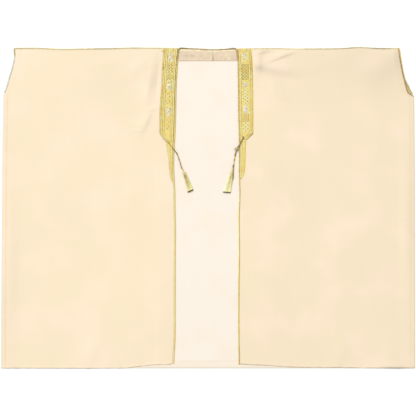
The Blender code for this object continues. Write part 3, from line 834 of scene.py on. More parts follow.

# broad places where the cloth is painted a little darker or paler: mostly painted shade and painted light
# beside folds and seams, along the hems and over the right front's upper corner, and some soiling
Tint = namedtuple("Tint", "out drop reach down amount")
paintedShadeAndSoil = {
    "left": (
        (0.4, 1.0, 0.3, 0.42, 0.026), (0.19, 0.6, 0.08, 0.5, 0.014), (0.89, 1.0, 0.055, 0.42, -0.036),
        (0.845, 1.4, 0.014, 0.008, -0.06), (0.5, 1.36, 0.03, 0.03, -0.015),
        (0.236, 0.13, 0.012, 0.045, -0.012), (0.264, 0.13, 0.018, 0.05, -0.06),
        (0.213, 0.108, 0.01, 0.026, -0.032), (0.255, 1.405, 0.08, 0.004, 0.09),
    ),
    "right": (
        (0.8, 0.08, 0.17, 0.13, -0.085), (0.56, 0.09, 0.2, 0.11, -0.028), (0.2, 0.7, 0.07, 0.55, 0.018),
        (0.3, 0.07, 0.07, 0.06, -0.012), (0.236, 0.092, 0.024, 0.018, -0.03),
        (0.226, 0.058, 0.02, 0.034, -0.055), (0.222, 0.08, 0.024, 0.022, -0.06),
        (0.205, 0.075, 0.009, 0.034, -0.04), (0.256, 0.045, 0.05, 0.042, -0.055),
        (0.25, 0.013, 0.032, 0.01, -0.1), (0.579, 1.404, 0.008, 0.006, -0.11),
        (0.82, 1.405, 0.07, 0.006, -0.46), (0.675, 1.405, 0.05, 0.004, 0.15),
        (0.385, 1.405, 0.03, 0.004, -0.12), (0.19, 1.405, 0.05, 0.004, -0.18),
        (0.145, 1.405, 0.01, 0.004, -0.3),
    ),
    "facing": (
        (-0.08, 0.031, 0.036, 0.0044, -0.17), (-0.03, 0.036, 0.03, 0.003, -0.06),
        (-0.1, 0.048, 0.02, 0.006, 0.04), (0.014, 0.04, 0.0028, 0.017, 0.17),
        (0.024, 0.046, 0.0034, 0.017, -0.44), (0.09, 0.024, 0.018, 0.008, 0.1),
        (0.09, 0.045, 0.006, 0.008, 0.11), (0.052, 0.036, 0.016, 0.004, -0.04),
        (0.113, 0.047, 0.009, 0.01, -0.13), (-0.07, 0.05, 0.06, 0.005, 0.07),
        (0.076, 0.05, 0.005, 0.006, -0.11),
    ),
}

frontCloth = {
    "wall": 0.0008, "seam": 0.0205, "bandMargin": {"left": 0.0685, "right": 0.0635},
    "bandFade": 0.011, "fade": 0.018, "fineStep": 0.0036, "fineReach": 0.42,
    "fineRows": {"left": 0.45, "right": 0.25}, "rowStep": 0.0095, "columnStep": 0.0098,
    "unevenness": 0.00018, "rollPlace": 0.0035, "rollWidth": 0.003, "rollHeight": 0.0007,
    "hemWaves": 0.0006, "waveFade": 0.018,
    # rows below the shoulder edge, above the hem and about the opening's end (in openingTurns), and columns
    # from the front edge and the side: all closer together at the edges
    "topRows": (0, 0.0006, 0.002),
    "hemRows": (0.018, 0.012, 0.009, 0.0065, 0.005, 0.0035, 0.0022, 0.0012, 0.0005, 0),
    "turnRows": (-1, -0.5, -0.25, 0, 1 / 3),
    "edgeColumns": (0, 0.0006, 0.004),
    "sideColumns": (0.03, 0.0225, 0.0215, 0.0205, 0.0195, 0.0185, 0.01, 0.004, 0.0006, 0),
    "flat": (0.79, 1.43), "area": 1.12,
}
backCloth = {
    "wall": 0.0009, "hemDepth": 0.033, "sideSeam": 0.0205, "rowStep": 0.014, "columns": 120,
    "topRows": (0, 0.0006, 0.003),
    # from the hem's seam, and from its edge
    "seamRows": (-0.001, 0, 0.001, 0.006), "edgeRows": (0.008, 0.0006, 0),
    "sideColumns": (0, 0.0006, 0.004, 0.01, 0.0195, 0.0205, 0.0215, 0.03), "flat": (1.85, 1.44),
    "area": 2.62,
}


def creaseHeight(side, out, drop):
    height = np.zeros(np.shape(out))
    for crease in [Crease(*row) for row in creases[side]]:
        angle = crease.heading * pi / 180
        over, down = out - crease.out, drop - crease.drop
        lengthwise = (over * cos(angle) + down * sin(angle)) / (crease.length / 2)
        crosswise = (down * cos(angle) - over * sin(angle)) / crease.width
        crosswise = crosswise / (1 - crease.lean * np.sign(crosswise))
        height += crease.height * np.exp(-(lengthwise**2) - crosswise**2)
    return height


# painted shade and light, with some soiling: each point's colour is multiplied by this
def shadeAndSoilOf(side, out, drop):
    change = np.zeros(np.shape(out))
    for shadeAndSoil in [Tint(*row) for row in paintedShadeAndSoil[side]]:
        away = ((out - shadeAndSoil.out) / shadeAndSoil.reach) ** 2 + ((drop - shadeAndSoil.drop) / shadeAndSoil.down) ** 2
        change += shadeAndSoil.amount * np.exp(-away)
    return 1 + change


def unevenness(x, y):
    # a long, low, irregular swell
    waves = ((5.3, 2.1, 0.4), (3.1, -6.7, 1.9), (9.7, 4.3, 4.1), (-7.9, 11.3, 2.6), (14.9, -3.7, 5.5))
    return sum(np.sin(a * x + b * y + c) for a, b, c in waves) / len(waves)


def turnedIn(distance, depth):
    # 1 within the turned hem, 0 on the single cloth
    return 1 - ease((distance - depth + 0.001) / 0.002)


def clothShell(name, top, wall, edges, shadeAndSoil=None):
    # a closed shell: its top is a grid of points, its wall goes down from it, and at the outermost row half
    # of the wall is left, so that edges look turned and pressed
    # each point also carries its painted shade and soiling, which the cloth's material multiplies its colour
    # by
    shadeAndSoil = np.ones(wall.shape) if shadeAndSoil is None else shadeAndSoil
    if top[0, 0, 0] > top[0, -1, 0]:
        top, wall, edges, shadeAndSoil = top[:, ::-1], wall[:, ::-1], edges[:, ::-1], shadeAndSoil[:, ::-1]
    rows, columns = top.shape[:2]
    bottom = top.copy()
    bottom[..., 2] -= wall
    top = top.copy()
    for border in (np.s_[0, :], np.s_[-1, :], np.s_[:, 0], np.s_[:, -1]):
        top[border][..., 2] = bottom[border][..., 2] + wall[border] * 0.5
    number = np.arange(rows * columns).reshape(rows, columns)
    under = rows * columns
    block = stacked(number[:-1, :-1], number[1:, :-1], number[1:, 1:], number[:-1, 1:]).reshape(-1, 4)
    rim = np.concatenate([number[:, 0], number[-1, 1:], number[-2::-1, -1], number[0, -2:0:-1]])
    nextRim = np.roll(rim, -1)
    walls = stacked(rim, rim + under, nextRim + under, nextRim)
    faces = np.concatenate([block, block[:, ::-1] + under, walls])
    places = np.concatenate([edges.reshape(-1, 2)] * 2)[faces.ravel()]
    points = [top.reshape(-1, 3), bottom.reshape(-1, 3)]
    return newPiece(name, points, faces.tolist(), ("edges", places), ("shadeAndSoil", [shadeAndSoil.ravel()] * 2))


def layCloth(name, shell, material, slot, node, flat, area, onto):
    # shell is what clothShell takes after the name
    piece = clothShell(name, *shell)
    finishPiece(piece, material, slot, node)


def spread(start, stop, step):
    # places from start up to stop, about a step apart
    return np.linspace(start, stop, ceil((stop - start) / step) + 1)


def frontSurface(side, out, drop):
    # a front's point, its wall, and its distances from the side and the hem
    plan = frontCloth
    inner, outer = frontEdge(side, drop), frontOuterEdge(side, drop)
    x, y = sideSign[side] * out, frontY(side, drop, out)
    fromBand = out - inner - plan["bandMargin"][side]
    fromSide, fromHem = outer - out, hemDrop - drop
    lift = creaseHeight(side, out, drop) + plan["unevenness"] * (1 + unevenness(x, y))
    lift = lift * ease(fromBand / plan["bandFade"]) * ease(fromSide / plan["fade"])
    lift = lift * ease((drop - frontTopDrop) / plan["fade"])
    waves = (2 + np.sin(out * 61 + 0.7) + np.sin(out * 143 + 2.1)) * plan["hemWaves"] / 2
    waves = waves * np.exp(-fromHem / plan["waveFade"]) * ease(fromSide / plan["fade"])
    lift = lift + waves * ease((out - inner) / 0.01)
    roll = plan["rollHeight"] * np.exp(-(((fromHem - plan["rollPlace"]) / plan["rollWidth"]) ** 2))
    sideTurn = turnedIn(fromSide, plan["seam"]) * ease((drop - openingEnd(side)) / 0.03)
    doubled = np.maximum(sideTurn, 1 - ease(fromBand / plan["bandFade"]))
    wall = plan["wall"] + (garment["wall"] - plan["wall"]) * doubled + roll
    return stacked(x, y, onBack + lift + wall), wall, stacked(fromSide, fromHem)


def makeFront(side):
    plan = frontCloth
    fineEnd = plan["fineRows"][side]
    turn = openingEnd(side) + openingTurn * np.array(plan["turnRows"])
    hem = hemDrop - np.array(plan["hemRows"])
    start = frontTopDrop + np.array(plan["topRows"])
    fine = spread(start[-1] + 0.003, fineEnd, plan["fineStep"])
    coarse = spread(fineEnd, hem[0], plan["rowStep"])
    drop = np.unique(np.round(np.concatenate([start, fine, turn, coarse, hem]), 5))
    inner, outer = frontEdge(side, drop)[:, None], frontOuterEdge(side, drop)[:, None]
    margin = plan["bandMargin"][side]
    nearBand = np.array([*plan["edgeColumns"], *spread(0.012, margin, 0.009)])
    reach = plan["fineReach"] - 0.14
    nearBand = np.concatenate([nearBand, spread(margin, reach, plan["fineStep"])[1:]])
    nearSide = np.array(plan["sideColumns"])
    share = spread(0, 1, plan["columnStep"] / (sideX - plan["fineReach"]))[1:-1]
    first, last = inner + nearBand[-1], outer - nearSide[0]
    out = np.hstack([inner + nearBand, first + (last - first) * share, outer - nearSide])
    drops = np.broadcast_to(drop[:, None], out.shape)
    top, wall, edges = frontSurface(side, out, drops)
    shell = (top, wall, edges, shadeAndSoilOf(side, out, drops))
    own = (clothMaterial["front"], "cream_cloth", "front_" + side)
    layCloth(sided("frontPanel", side), shell, *own, plan["flat"], plan["area"], "backPanel")


def backHeight(x, drop, fromSide, fromHem):
    hemmed = np.maximum(turnedIn(fromHem, backCloth["hemDepth"]), turnedIn(fromSide, backCloth["sideSeam"]))
    fold = creaseHeight("back", x, drop) * ease((0.12 - abs(x)) / 0.03)
    return backCloth["wall"] + (backTop - backCloth["wall"]) * hemmed + fold


def makeBack():
    plan = backCloth
    hemStart = hemDrop - plan["hemDepth"]
    hem = [*hemStart + np.array(plan["seamRows"]), *hemDrop - np.array(plan["edgeRows"])]
    rows = spread(0.008, hemStart - 0.004, plan["rowStep"])
    ends = [openingEnd(side) for side in sideSign]
    drop = np.unique(np.concatenate([plan["topRows"], rows, ends, hem]))
    x0, x1 = -backEdge("left", drop)[:, None], backEdge("right", drop)[:, None]
    near = np.array(plan["sideColumns"])
    share = np.linspace(0, 1, plan["columns"])[1:-1]
    start, stop = x0 + near[-1], x1 - near[-1]
    x = np.hstack([x0 + near, start + (stop - start) * share, x1 - near[::-1]])
    drops = np.broadcast_to(drop[:, None], x.shape)
    fromSide, fromHem = np.minimum(x - x0, x1 - x), hemDrop - drops
    height = backHeight(x, drops, fromSide, fromHem)
    shell = (stacked(x, sheetY(x, drops), height), height, stacked(fromSide, fromHem))
    own = (clothMaterial["back"], "cream_cloth", "back")
    layCloth("backPanel", shell, *own, plan["flat"], plan["area"], "floor")


makeBack()
for side in sideSign:
    makeFront(side)


# Back-neck facing, two halves that meet at a seam
print("facing")
facing = {
    "corner": 0.012, "cornerSteps": 10, "depth": 0.061, "curvedTo": 0.04, "seamX": 0.0198,
    "wall": 0.001, "columns": 84, "rows": 26,
    # under the left half: how far beside the seam, reach, height; and how uneven the cloth is
    "allowance": (0.0035, 0.003, 0.0005), "uneven": 0.0001,
    # flat size and area
    "left": ((0.155, 0.058), 0.0079), "right": ((0.116, 0.058), 0.0057),
}


def makeFacing(side):
    reach = facing["corner"] - garment["edgeCord"] / 2 - gap
    turn = np.linspace(0, pi / 2, facing["cornerSteps"])
    straightRows = np.linspace(facing["corner"] + 0.003, facing["depth"], facing["rows"])
    depth = np.concatenate([facing["corner"] - reach * np.cos(turn), straightRows])
    inside = np.concatenate([reach * np.sin(turn), np.full(len(straightRows), reach)])
    outer = cordLine(side, depth) - facing["corner"] + inside
    seam = sideSign[side] * facing["seamX"] + gap / 2
    share = np.linspace(0, 1, facing["columns"])
    out = seam + (outer - seam)[:, None] * share
    x = sideSign[side] * out
    rows = np.broadcast_to(depth[:, None], x.shape)
    # the rows follow the neck's curve and run out in a straight lower edge
    curved = topY(x) - garment["edgeCord"] / 2 - np.minimum(rows, facing["curvedTo"])
    lower = np.clip((rows - facing["curvedTo"]) / (facing["depth"] - facing["curvedTo"]), 0, 1)
    y = curved + (shoulderY - facing["depth"] - curved) * lower
    fromTop = rows - depth[0]
    lift = creaseHeight("facing", x, rows) + facing["uneven"] * (1 + np.sin(x * 190 + rows * 60))
    if side == "left":
        beyond, reached, height = facing["allowance"]
        lift = lift + height * np.exp(-(((x - facing["seamX"] + beyond) / reached) ** 2))
    lift = lift * ease(fromTop / 0.006) * ease((facing["depth"] - rows) / 0.004)
    wall = np.full(x.shape, facing["wall"])
    top = stacked(x, y, onBack + facing["wall"] + lift)
    shell = (top, wall, stacked(fromTop, facing["depth"] - rows), shadeAndSoilOf("facing", x, rows))
    own = (clothMaterial["facing"], "facing_cloth", "neck_facing_" + side)
    layCloth(sided("neckFacing", side), shell, *own, *facing[side], "backPanel")


for side in sideSign:
    makeFacing(side)


# Gold bands
print("bands")
band = {
    "outlineLeft": (
        (0.0042, 0.064), (0.16, 0.061), (0.2, 0.063), (0.28, 0.067), (0.366, 0.0655), (0.376, 0.063),
        (0.395, 0.0505), (0.411, 0.035), (0.4137, 0.0326),
    ),
    "outlineRight": (
        (0.0042, 0.059), (0.085, 0.061), (0.29, 0.0612), (0.376, 0.0595), (0.385, 0.05), (0.4, 0.033),
        (0.4027, 0.0287),
    ),
    "tailLeft": (
        (0.414, 0.0325), (0.44, 0.029), (0.462, 0.024), (0.49, 0.018), (0.538, 0.0155), (0.566, 0.014),
        (0.59, 0.006),
    ),
    "tailRight": (
        (0.403, 0.0285), (0.44, 0.0262), (0.5, 0.0245), (0.54, 0.0225), (0.56, 0.016), (0.574, 0.0075),
    ),
    "ground": 0.0009, "ribStart": 0.0055, "ribEnd": {"left": 0.372, "right": 0.374},
    "ribStep": 0.00125, "runOn": 0.29,
    # a short stitch over the outer edge: share of the width, height and drop of each of its points
    "couching": ((0.945, 0.001, 0), (0.975, 0.0014, 0.0005), (1.0, 0.0008, 0.001), (1.014, 0.0, 0.0014)),
    "couchEvery": 0.0055, "couchTones": (0.62, 0.78, 0.5),
}

# share of the band's width from the front edge, half width in metres, height, tone, strands
Rib = namedtuple("Rib", "share half high tone strands")
ribs = {
    "left": (
        (0.022, 0.0011, 0.0012, 0.14, 2), (0.082, 0.0024, 0.0014, 0.96, 3),
        (0.138, 0.0009, 0.001, 0.4, 2), (0.192, 0.0023, 0.0014, 0.84, 3), (0.248, 0.001, 0.001, 0.5, 2),
        (0.288, 0.001, 0.001, 0.78, 2), (0.658, 0.0011, 0.001, 0.38, 2),
        (0.715, 0.0022, 0.0014, 0.92, 3), (0.77, 0.001, 0.0009, 0.38, 2),
        (0.826, 0.0022, 0.0014, 0.8, 3), (0.884, 0.0013, 0.001, 0.46, 2),
        (0.932, 0.0014, 0.0012, 0.95, 2), (0.978, 0.0011, 0.001, 0.76, 2),
    ),
    "right": (
        (0.022, 0.0012, 0.0012, 0.66, 2), (0.066, 0.0012, 0.0011, 0.66, 2),
        (0.122, 0.0021, 0.0014, 0.92, 3), (0.178, 0.0011, 0.001, 0.46, 2),
        (0.738, 0.0011, 0.001, 0.66, 2), (0.793, 0.0021, 0.0014, 0.84, 3),
        (0.848, 0.0011, 0.001, 0.5, 2), (0.905, 0.0022, 0.0012, 0.74, 3),
        (0.966, 0.0012, 0.001, 0.66, 2),
    ),
    "tail": (
        (0.06, 0.0012, 0.001, 0.46, 2), (0.25, 0.0026, 0.0013, 0.97, 3), (0.43, 0.0011, 0.001, 0.58, 2),
        (0.59, 0.0024, 0.0013, 0.94, 3), (0.77, 0.0012, 0.001, 0.84, 2), (0.93, 0.0011, 0.001, 0.68, 2),
    ),
}
# stretches where the outer ribs are darker: shares, middle, half length, change of tone
DarkerStretch = namedtuple("DarkerStretch", "first last drop reach amount")
darkerStretches = {
    "left": (
        (0.86, 1.0, 0.088, 0.016, -0.26), (0.86, 1.0, 0.02, 0.014, -0.2), (0.86, 0.9, 0.26, 0.08, -0.16),
    ),
    "right": (
        (0.84, 1.0, 0.1, 0.02, -0.2), (0.84, 1.0, 0.055, 0.03, -0.16), (0.0, 0.1, 0.03, 0.03, -0.3),
    ),
}
# cords that follow the cut-off corner: share of the width, tone; and how much paler each side's are
cornerCords = ((0.965, 0.12), (0.89, 0.84), (0.815, 0.3), (0.735, 0.8), (0.65, 0.38), (0.565, 0.74))
cornerPaler = {"left": 0.16, "right": 0.0}


def bandWidth(kind, side, drop):
    return straight(band[sided(kind, side)], drop)


def frontPoint(side, out, drop, z):
    return stacked(sideSign[side] * out, frontY(side, drop, out), z)


def onBand(side, across, drop, height, kind="outline"):
    # a place on the band: share of its width, drop, height over its ground
    across, drop, height = np.broadcast_arrays(*(np.asarray(v, float) for v in (across, drop, height)))
    out = frontEdge(side, drop) + bandWidth(kind, side, drop) * across
    return frontPoint(side, out, drop, onFront + band["ground"] + height)


def makeBandGround(side, kind, name, node):
    rows, widths = np.array(band[sided(kind, side)]).T
    area = float(((widths[1:] + widths[:-1]) / 2 * np.diff(rows)).sum())
    drop = np.unique(np.concatenate([rows, spread(rows[0], rows[-1], 0.006), [rows[0] + 0.0005]]))
    across = np.array([0, 0.008, *np.linspace(0.05, 0.95, 19), 0.992, 1])
    top = onBand(side, across[None], drop[:, None], 0.0, kind)
    shell = (top, np.full(top.shape[:2], band["ground"]), stacked(across[None], drop[:, None]))
    own = (bandGroundMaterial, "gold_thread", node)
    flat = (round(widths.max(), 4), round(np.ptp(rows), 4))
    layCloth(name, shell, *own, flat, round(area, 5), sided("frontPanel", side))


bandLook = {"main": colour(241, 222, 135), "dark": colour(220, 198, 110), "threads": 1500}


def makeBandGroundMaterial():
    material, tree, shader = newMaterial("bandGround", 0.5, 0.2)
    place = objectPlace(tree)
    weave = useGroup(tree, weaveGroup, Place=place, Threads=bandLook["threads"])
    uneven = noise(tree, stretch(tree, place, (220, 140, 1)), 1.0)
    patches = mapRange(tree, uneven, 0.38, 0.62, 0, 0.85)
    plug(tree, shader.inputs["Base Color"], mix(tree, patches, bandLook["main"], bandLook["dark"]))
    bump(tree, shader, weave["Height"], 0.4, 0.0003)
    return material


bandGroundMaterial = makeBandGroundMaterial()


# by the number of strands: length of a full turn, swing sideways and half width as shares of the rib's
strandPlan = {2: (0.01, 0.5, 0.52), 3: (0.0135, 0.62, 0.4)}


def ribThreads(side, kind, rib, drop):
    # two strands twist round each other, three are plaited flat
    width = bandWidth(kind, side, drop)
    reach = bandWidth(kind, side, np.minimum(drop, band["ribEnd"][side])) if kind == "outline" else width
    middle = rib.share * reach
    half = np.minimum(rib.half, 0.085 * width) if kind == "tail" else np.full(len(drop), rib.half)
    period, swing, strandHalf = strandPlan[rib.strands]
    threads = []
    for number in range(rib.strands):
        phase = tau * (drop / period + number / rib.strands + rib.share)
        over = 2 * phase if rib.strands == 3 else phase + pi / 2
        offset = half * swing * np.sin(phase)
        height = rib.high * (0.35 + 0.25 * np.sin(over))
        route = onBand(side, (middle + offset) / width, drop, height, kind)
        tone = rib.tone + 0.06 * np.sin(drop * 71 + rib.share * 40) + 0.09 * (number - 1)
        for place in [DarkerStretch(*row) for row in (darkerStretches[side] if kind == "outline" else ())]:
            if place.first <= rib.share <= place.last:
                tone = tone + place.amount * np.exp(-(((drop - place.drop) / place.reach) ** 2))
        threads.append(Thread(route, half * strandHalf, rib.high * 0.42, np.clip(tone, 0, 1)))
    return threads


# Motifs down the band's middle: kind, first and last drop, how much paler; then the shares of the band's
# width that they and the silver blocks lie between
Motif = namedtuple("Motif", "kind start stop paler", defaults=(0.0,))
centre = {"left": (0.3, 0.645), "right": (0.225, 0.68)}
silverPlace = {"left": (0.27, 0.625), "right": (0.24, 0.6)}
motifs = {
    "left": (
        ("bars", 0.006, 0.018), ("silver", 0.0215, 0.061), ("lattice", 0.065, 0.106),
        ("paleLattice", 0.106, 0.142), ("silver", 0.145, 0.188), ("goldDiamonds", 0.194, 0.252, -0.04),
        ("silver", 0.259, 0.302), ("goldDiamonds", 0.308, 0.364, -0.04),
    ),
    "right": (
        ("bars", 0.006, 0.015), ("silver", 0.018, 0.053), ("bars", 0.056, 0.063),
        ("lattice", 0.065, 0.141), ("silver", 0.145, 0.173, 0.14), ("diamonds", 0.178, 0.249),
        ("silver", 0.252, 0.291, 0.24), ("darkBars", 0.292, 0.321), ("diamonds", 0.323, 0.371),
    ),
}
stitching = {
    "latticeStep": {"left": 0.0125, "right": 0.013}, "latticeHalf": 0.0008,
    "latticeTones": {"left": (0.9, 0.34, 0.92), "right": (0.66, 0.37, 0.66)},
    "paleLatticeTones": (0.88, 0.46, 0.92), "barTones": (0.88, 0.62),
    "darkBarTones": (0.46, 0.7, 0.52), "knotHalf": 0.0024, "spotHalf": 0.0027,
    "diamondLong": {"left": 0.019, "right": 0.0145}, "diamondHalf": 0.0013, "silverStep": 0.0021,
    "silverHalf": 0.0009, "silverTones": (0.96, 0.8, 0.6, 0.42, 0.22, 0.04), "barStep": 0.0026,
}


def spanOf(side, motif, place):
    # shares of the width that a motif lies between, its width and its length
    left, right = place[side]
    return left, right, bandWidth("outline", side, motif.start) * (right - left), motif.stop - motif.start


def slantThreads(side, motif, step, slope, half, height, tone):
    # straight threads at a slant, each cut off at the motif's four sides
    left, right, wide, long = spanOf(side, motif, centre)
    threads = []
    for at in np.arange(-wide, long + wide, step):
        t = np.linspace(0, wide, 14)
        down = at + slope * t if slope > 0 else at + slope * (t - wide)
        inside = (down >= 0) & (down <= long)
        if inside.sum() < 3:
            continue
        over = left + (right - left) * t[inside] / wide
        threads.append(Thread(onBand(side, over, motif.start + down[inside], height), half, half * 0.6, tone))
    return threads


def knotThread(side, over, drop, half, tone):
    # a short raised stitch
    high = np.array([0.0006, 0.0013, 0.0013, 0.0006])
    return Thread(onBand(side, over, drop + np.array([-1, -0.5, 0.5, 1]) * half, high), half, 0.0006, tone)


def latticeThreads(side, motif, thread, knots, spots):
    # threads that cross at a slant, with a dark knot on each crossing and a bright one between them
    step, half = stitching["latticeStep"][side], stitching["latticeHalf"]
    threads = slantThreads(side, motif, step, 1.0, half, 0.0003, thread)
    threads += slantThreads(side, motif, step, -1.0, half, 0.0006, thread)
    left, right, wide, long = spanOf(side, motif, centre)
    columns = round((wide / 2 - 0.001) / (step / 2))
    for column in range(-columns, columns + 1):
        over = (left + right) / 2 + column * step / 2 / wide * (right - left)
        first = -wide / 2 + column * step / 2
        for number, down in enumerate(np.arange(first, long - 0.001, step / 2)):
            size, tone = (stitching["spotHalf"], spots) if number % 2 else (stitching["knotHalf"], knots)
            size = size * step / stitching["latticeStep"]["right"]
            tone = tone + 0.08 * np.sin(number * 2.7 + column * 1.9)
            if down > 0.001:
                threads.append(knotThread(side, over, motif.start + down, size, tone))
    return threads


def diamondThreads(side, motif, random):
    # two pairs of mirrored zigzags make the pale diamonds; the second list has knots in and beside them
    left, right = centre[side]
    middle, reach = (left + right) / 2, (right - left) / 2
    long, half = stitching["diamondLong"][side], stitching["diamondHalf"]
    count = max(1, round((motif.stop - motif.start) / long))
    long = (motif.stop - motif.start) / count
    drop = spread(motif.start, motif.stop, long / 16)
    swing = 1 - np.abs(1 - 2 * (((drop - motif.start) / long) % 1.0))
    pale, knots = [], []
    for sign in (-1, 1):
        for share, high, tone in ((0.88, 0.0006, 0.76), (0.42, 0.0005, 0.62)):
            over = middle + sign * reach * share * swing
            uneven = np.clip(tone + motif.paler + random.uniform(-0.18, 0.18, len(drop)), 0, 1)
            pale.append(Thread(onBand(side, over, drop, high), half, half * 0.7, uneven))
    for number in range(count):
        at = motif.start + (number + 0.5) * long + random.uniform(-0.001, 0.001)
        for over, along in ((0.0, 0.0), (-0.62, -0.5), (0.62, -0.5)):
            size, tone = random.uniform(0.0011, 0.0021), random.uniform(0.14, 0.48)
            knots.append(knotThread(side, middle + over * reach, at + along * long, size, tone))
    return pale, knots


def silverThreads(side, motif, random):
    # slanting stitches of uneven length and tone, some left out so that gold shows between them
    left, right, wide, long = spanOf(side, motif, silverPlace)
    threads = []
    for at in np.arange(-wide, long, stitching["silverStep"]):
        first = max(0.0, -at) + random.uniform(-0.001, 0.0055)
        last = min(wide, long - at) - random.uniform(-0.001, 0.0055)
        if last - first < 0.003 or random.uniform() < 0.06:
            continue
        t = np.linspace(first, last, 15)
        tone = np.clip(np.repeat(random.choice(stitching["silverTones"], 5), 3) + motif.paler, 0, 1)
        high = 0.0003 + 0.0008 * np.sin(np.linspace(0, pi, 15))
        route = onBand(side, left + (right - left) * t / wide, motif.start + at + t, high)
        threads.append(Thread(route, stitching["silverHalf"], 0.0006, tone))
    return threads


def barThreads(side, motif, tones):
    left, right = centre[side]
    over = np.linspace(left, right, 7)
    rows = np.arange(motif.start, motif.stop, stitching["barStep"])
    high = 0.0003 + 0.0005 * np.sin(np.linspace(0, pi, 7))
    routes = [onBand(side, over, at, high) for at in rows]
    return [Thread(route, 0.0012, 0.0008, tones[n % len(tones)]) for n, route in enumerate(routes)]


def motifThreads(side, motif):
    if motif.kind == "lattice":
        return latticeThreads(side, motif, *stitching["latticeTones"][side])
    if motif.kind == "paleLattice":
        return latticeThreads(side, motif, *stitching["paleLatticeTones"])
    return barThreads(side, motif, stitching["darkBarTones" if motif.kind == "darkBars" else "barTones"])


def cornerThreads(side):
    # cords round the cut-off corner and short stitches over the band's outer edge
    end = band["ribEnd"][side]
    drop = spread(end, band[sided("outline", side)][-1][0] - 0.0012, 0.002)
    threads = []
    for share, tone in cornerCords:
        threads.append(Thread(onBand(side, share, drop, 0.0004), 0.0013, 0.0009, tone + cornerPaler[side]))
    over, high, down = np.array(band["couching"]).T
    for number, at in enumerate(np.arange(0.008, end, band["couchEvery"])):
        tone = band["couchTones"][number % 3]
        threads.append(Thread(onBand(side, over, at + down, high), 0.0006, 0.0004, tone))
    return threads


# a small gold tab at the top of the left band's outer edge
bandTab = {
    "first": 0.0065, "rows": 6, "every": 0.0019, "reach": 0.165, "tone": 0.74,
    "heights": (0.0013, 0.0016, 0.0016, 0.0014, 0.0011, -0.0001),
}


def tabThreads():
    high = np.array(bandTab["heights"])
    threads = []
    for number in range(bandTab["rows"]):
        at = bandTab["first"] + number * bandTab["every"]
        over = 0.97 + bandTab["reach"] * np.linspace(0, 1, 6)
        tone = bandTab["tone"] + 0.14 * (number % 2)
        down = at + 0.0006 * np.arange(6) / 5
        threads.append(Thread(onBand("left", over, down, high), 0.001, 0.0007, tone))
    return threads


def makeBand(side):
    name = sided("band", side)
    tail = name + "Tail"
    makeBandGround(side, "outline", name + "Ground", "band_" + side)
    makeBandGround(side, "tail", tail + "Ground", "band_tail_" + side)

    # the ribs next to the front edge run on past the cut-off corner
    end = band[sided("outline", side)][-1][0]
    short, whole = (spread(band["ribStart"], stop, band["ribStep"]) for stop in (band["ribEnd"][side], end))
    threads = cornerThreads(side)
    for rib in [Rib(*row) for row in ribs[side]]:
        threads += ribThreads(side, "outline", rib, whole if rib.share < band["runOn"] else short)
    if side == "left":
        threads += tabThreads()
    threadPiece(name + "Ribs", threads, "gold", sides=4)

    random = np.random.default_rng(11)
    worked, silver, pale = [], [], []
    for motif in [Motif(*row) for row in motifs[side]]:
        if motif.kind == "silver":
            silver += silverThreads(side, motif, random)
        elif motif.kind in ("diamonds", "goldDiamonds"):
            diamonds, knots = diamondThreads(side, motif, random)
            (pale if motif.kind == "diamonds" else worked).extend(diamonds)
            worked += knots
        else:
            worked += motifThreads(side, motif)
    threadPiece(name + "Motifs", worked, "gold")
    if pale:
        threadPiece(name + "Diamonds", pale, "paleGold")
    threadPiece(name + "SilverBlocks", silver, "silver")

    rows = band[sided("tail", side)]
    drop = spread(rows[0][0] + 0.0008, rows[-1][0] - 0.0015, band["ribStep"])
    threads = [thread for row in ribs["tail"] for thread in ribThreads(side, "tail", Rib(*row), drop)]
    threadPiece(tail + "Ribs", threads, "gold", sides=4)


for side in sideSign:
    makeBand(side)


# Cords sewn along the edges
print("edge cords")
edgeCords = {
    "step": 0.0014, "pitch": 0.011, "neckLeg": (0.047, 0.026), "neckCorner": 0.012,
    "doubled": ((-0.13, -0.082), (0.076, 0.134)), "doublingHalf": 0.0015,
    # where the right shoulder's cord stands out from the cloth: middle, reach, amount
    "proud": (0.757, 0.034, 0.0017),
    # the right opening's cord runs on to the front's corner: past its end, inside its edge, half width
    "cornerEnd": (0.0008, 0.0026, 0.0014),
}
# stitches over the cords: how often, how far they reach on to the cloth, slant, half width, tones
Whip = namedtuple("Whip", "every reach slant half tone toneStep")
overStitch = {
    "front": Whip(0.0042, 0.0028, 0.0012, 0.00055, 0.84, 0.1),
    "shoulderLeft": Whip(0.0038, 0.0036, 0.0012, 0.0006, 0.78, 0.1),
    "shoulderRight": Whip(0.006, 0.002, 0.0012, 0.0004, 0.66, 0.12),
    "opening": Whip(0.005, 0.0016, 0.001, 0.0004, 0.62, 0.12),
}
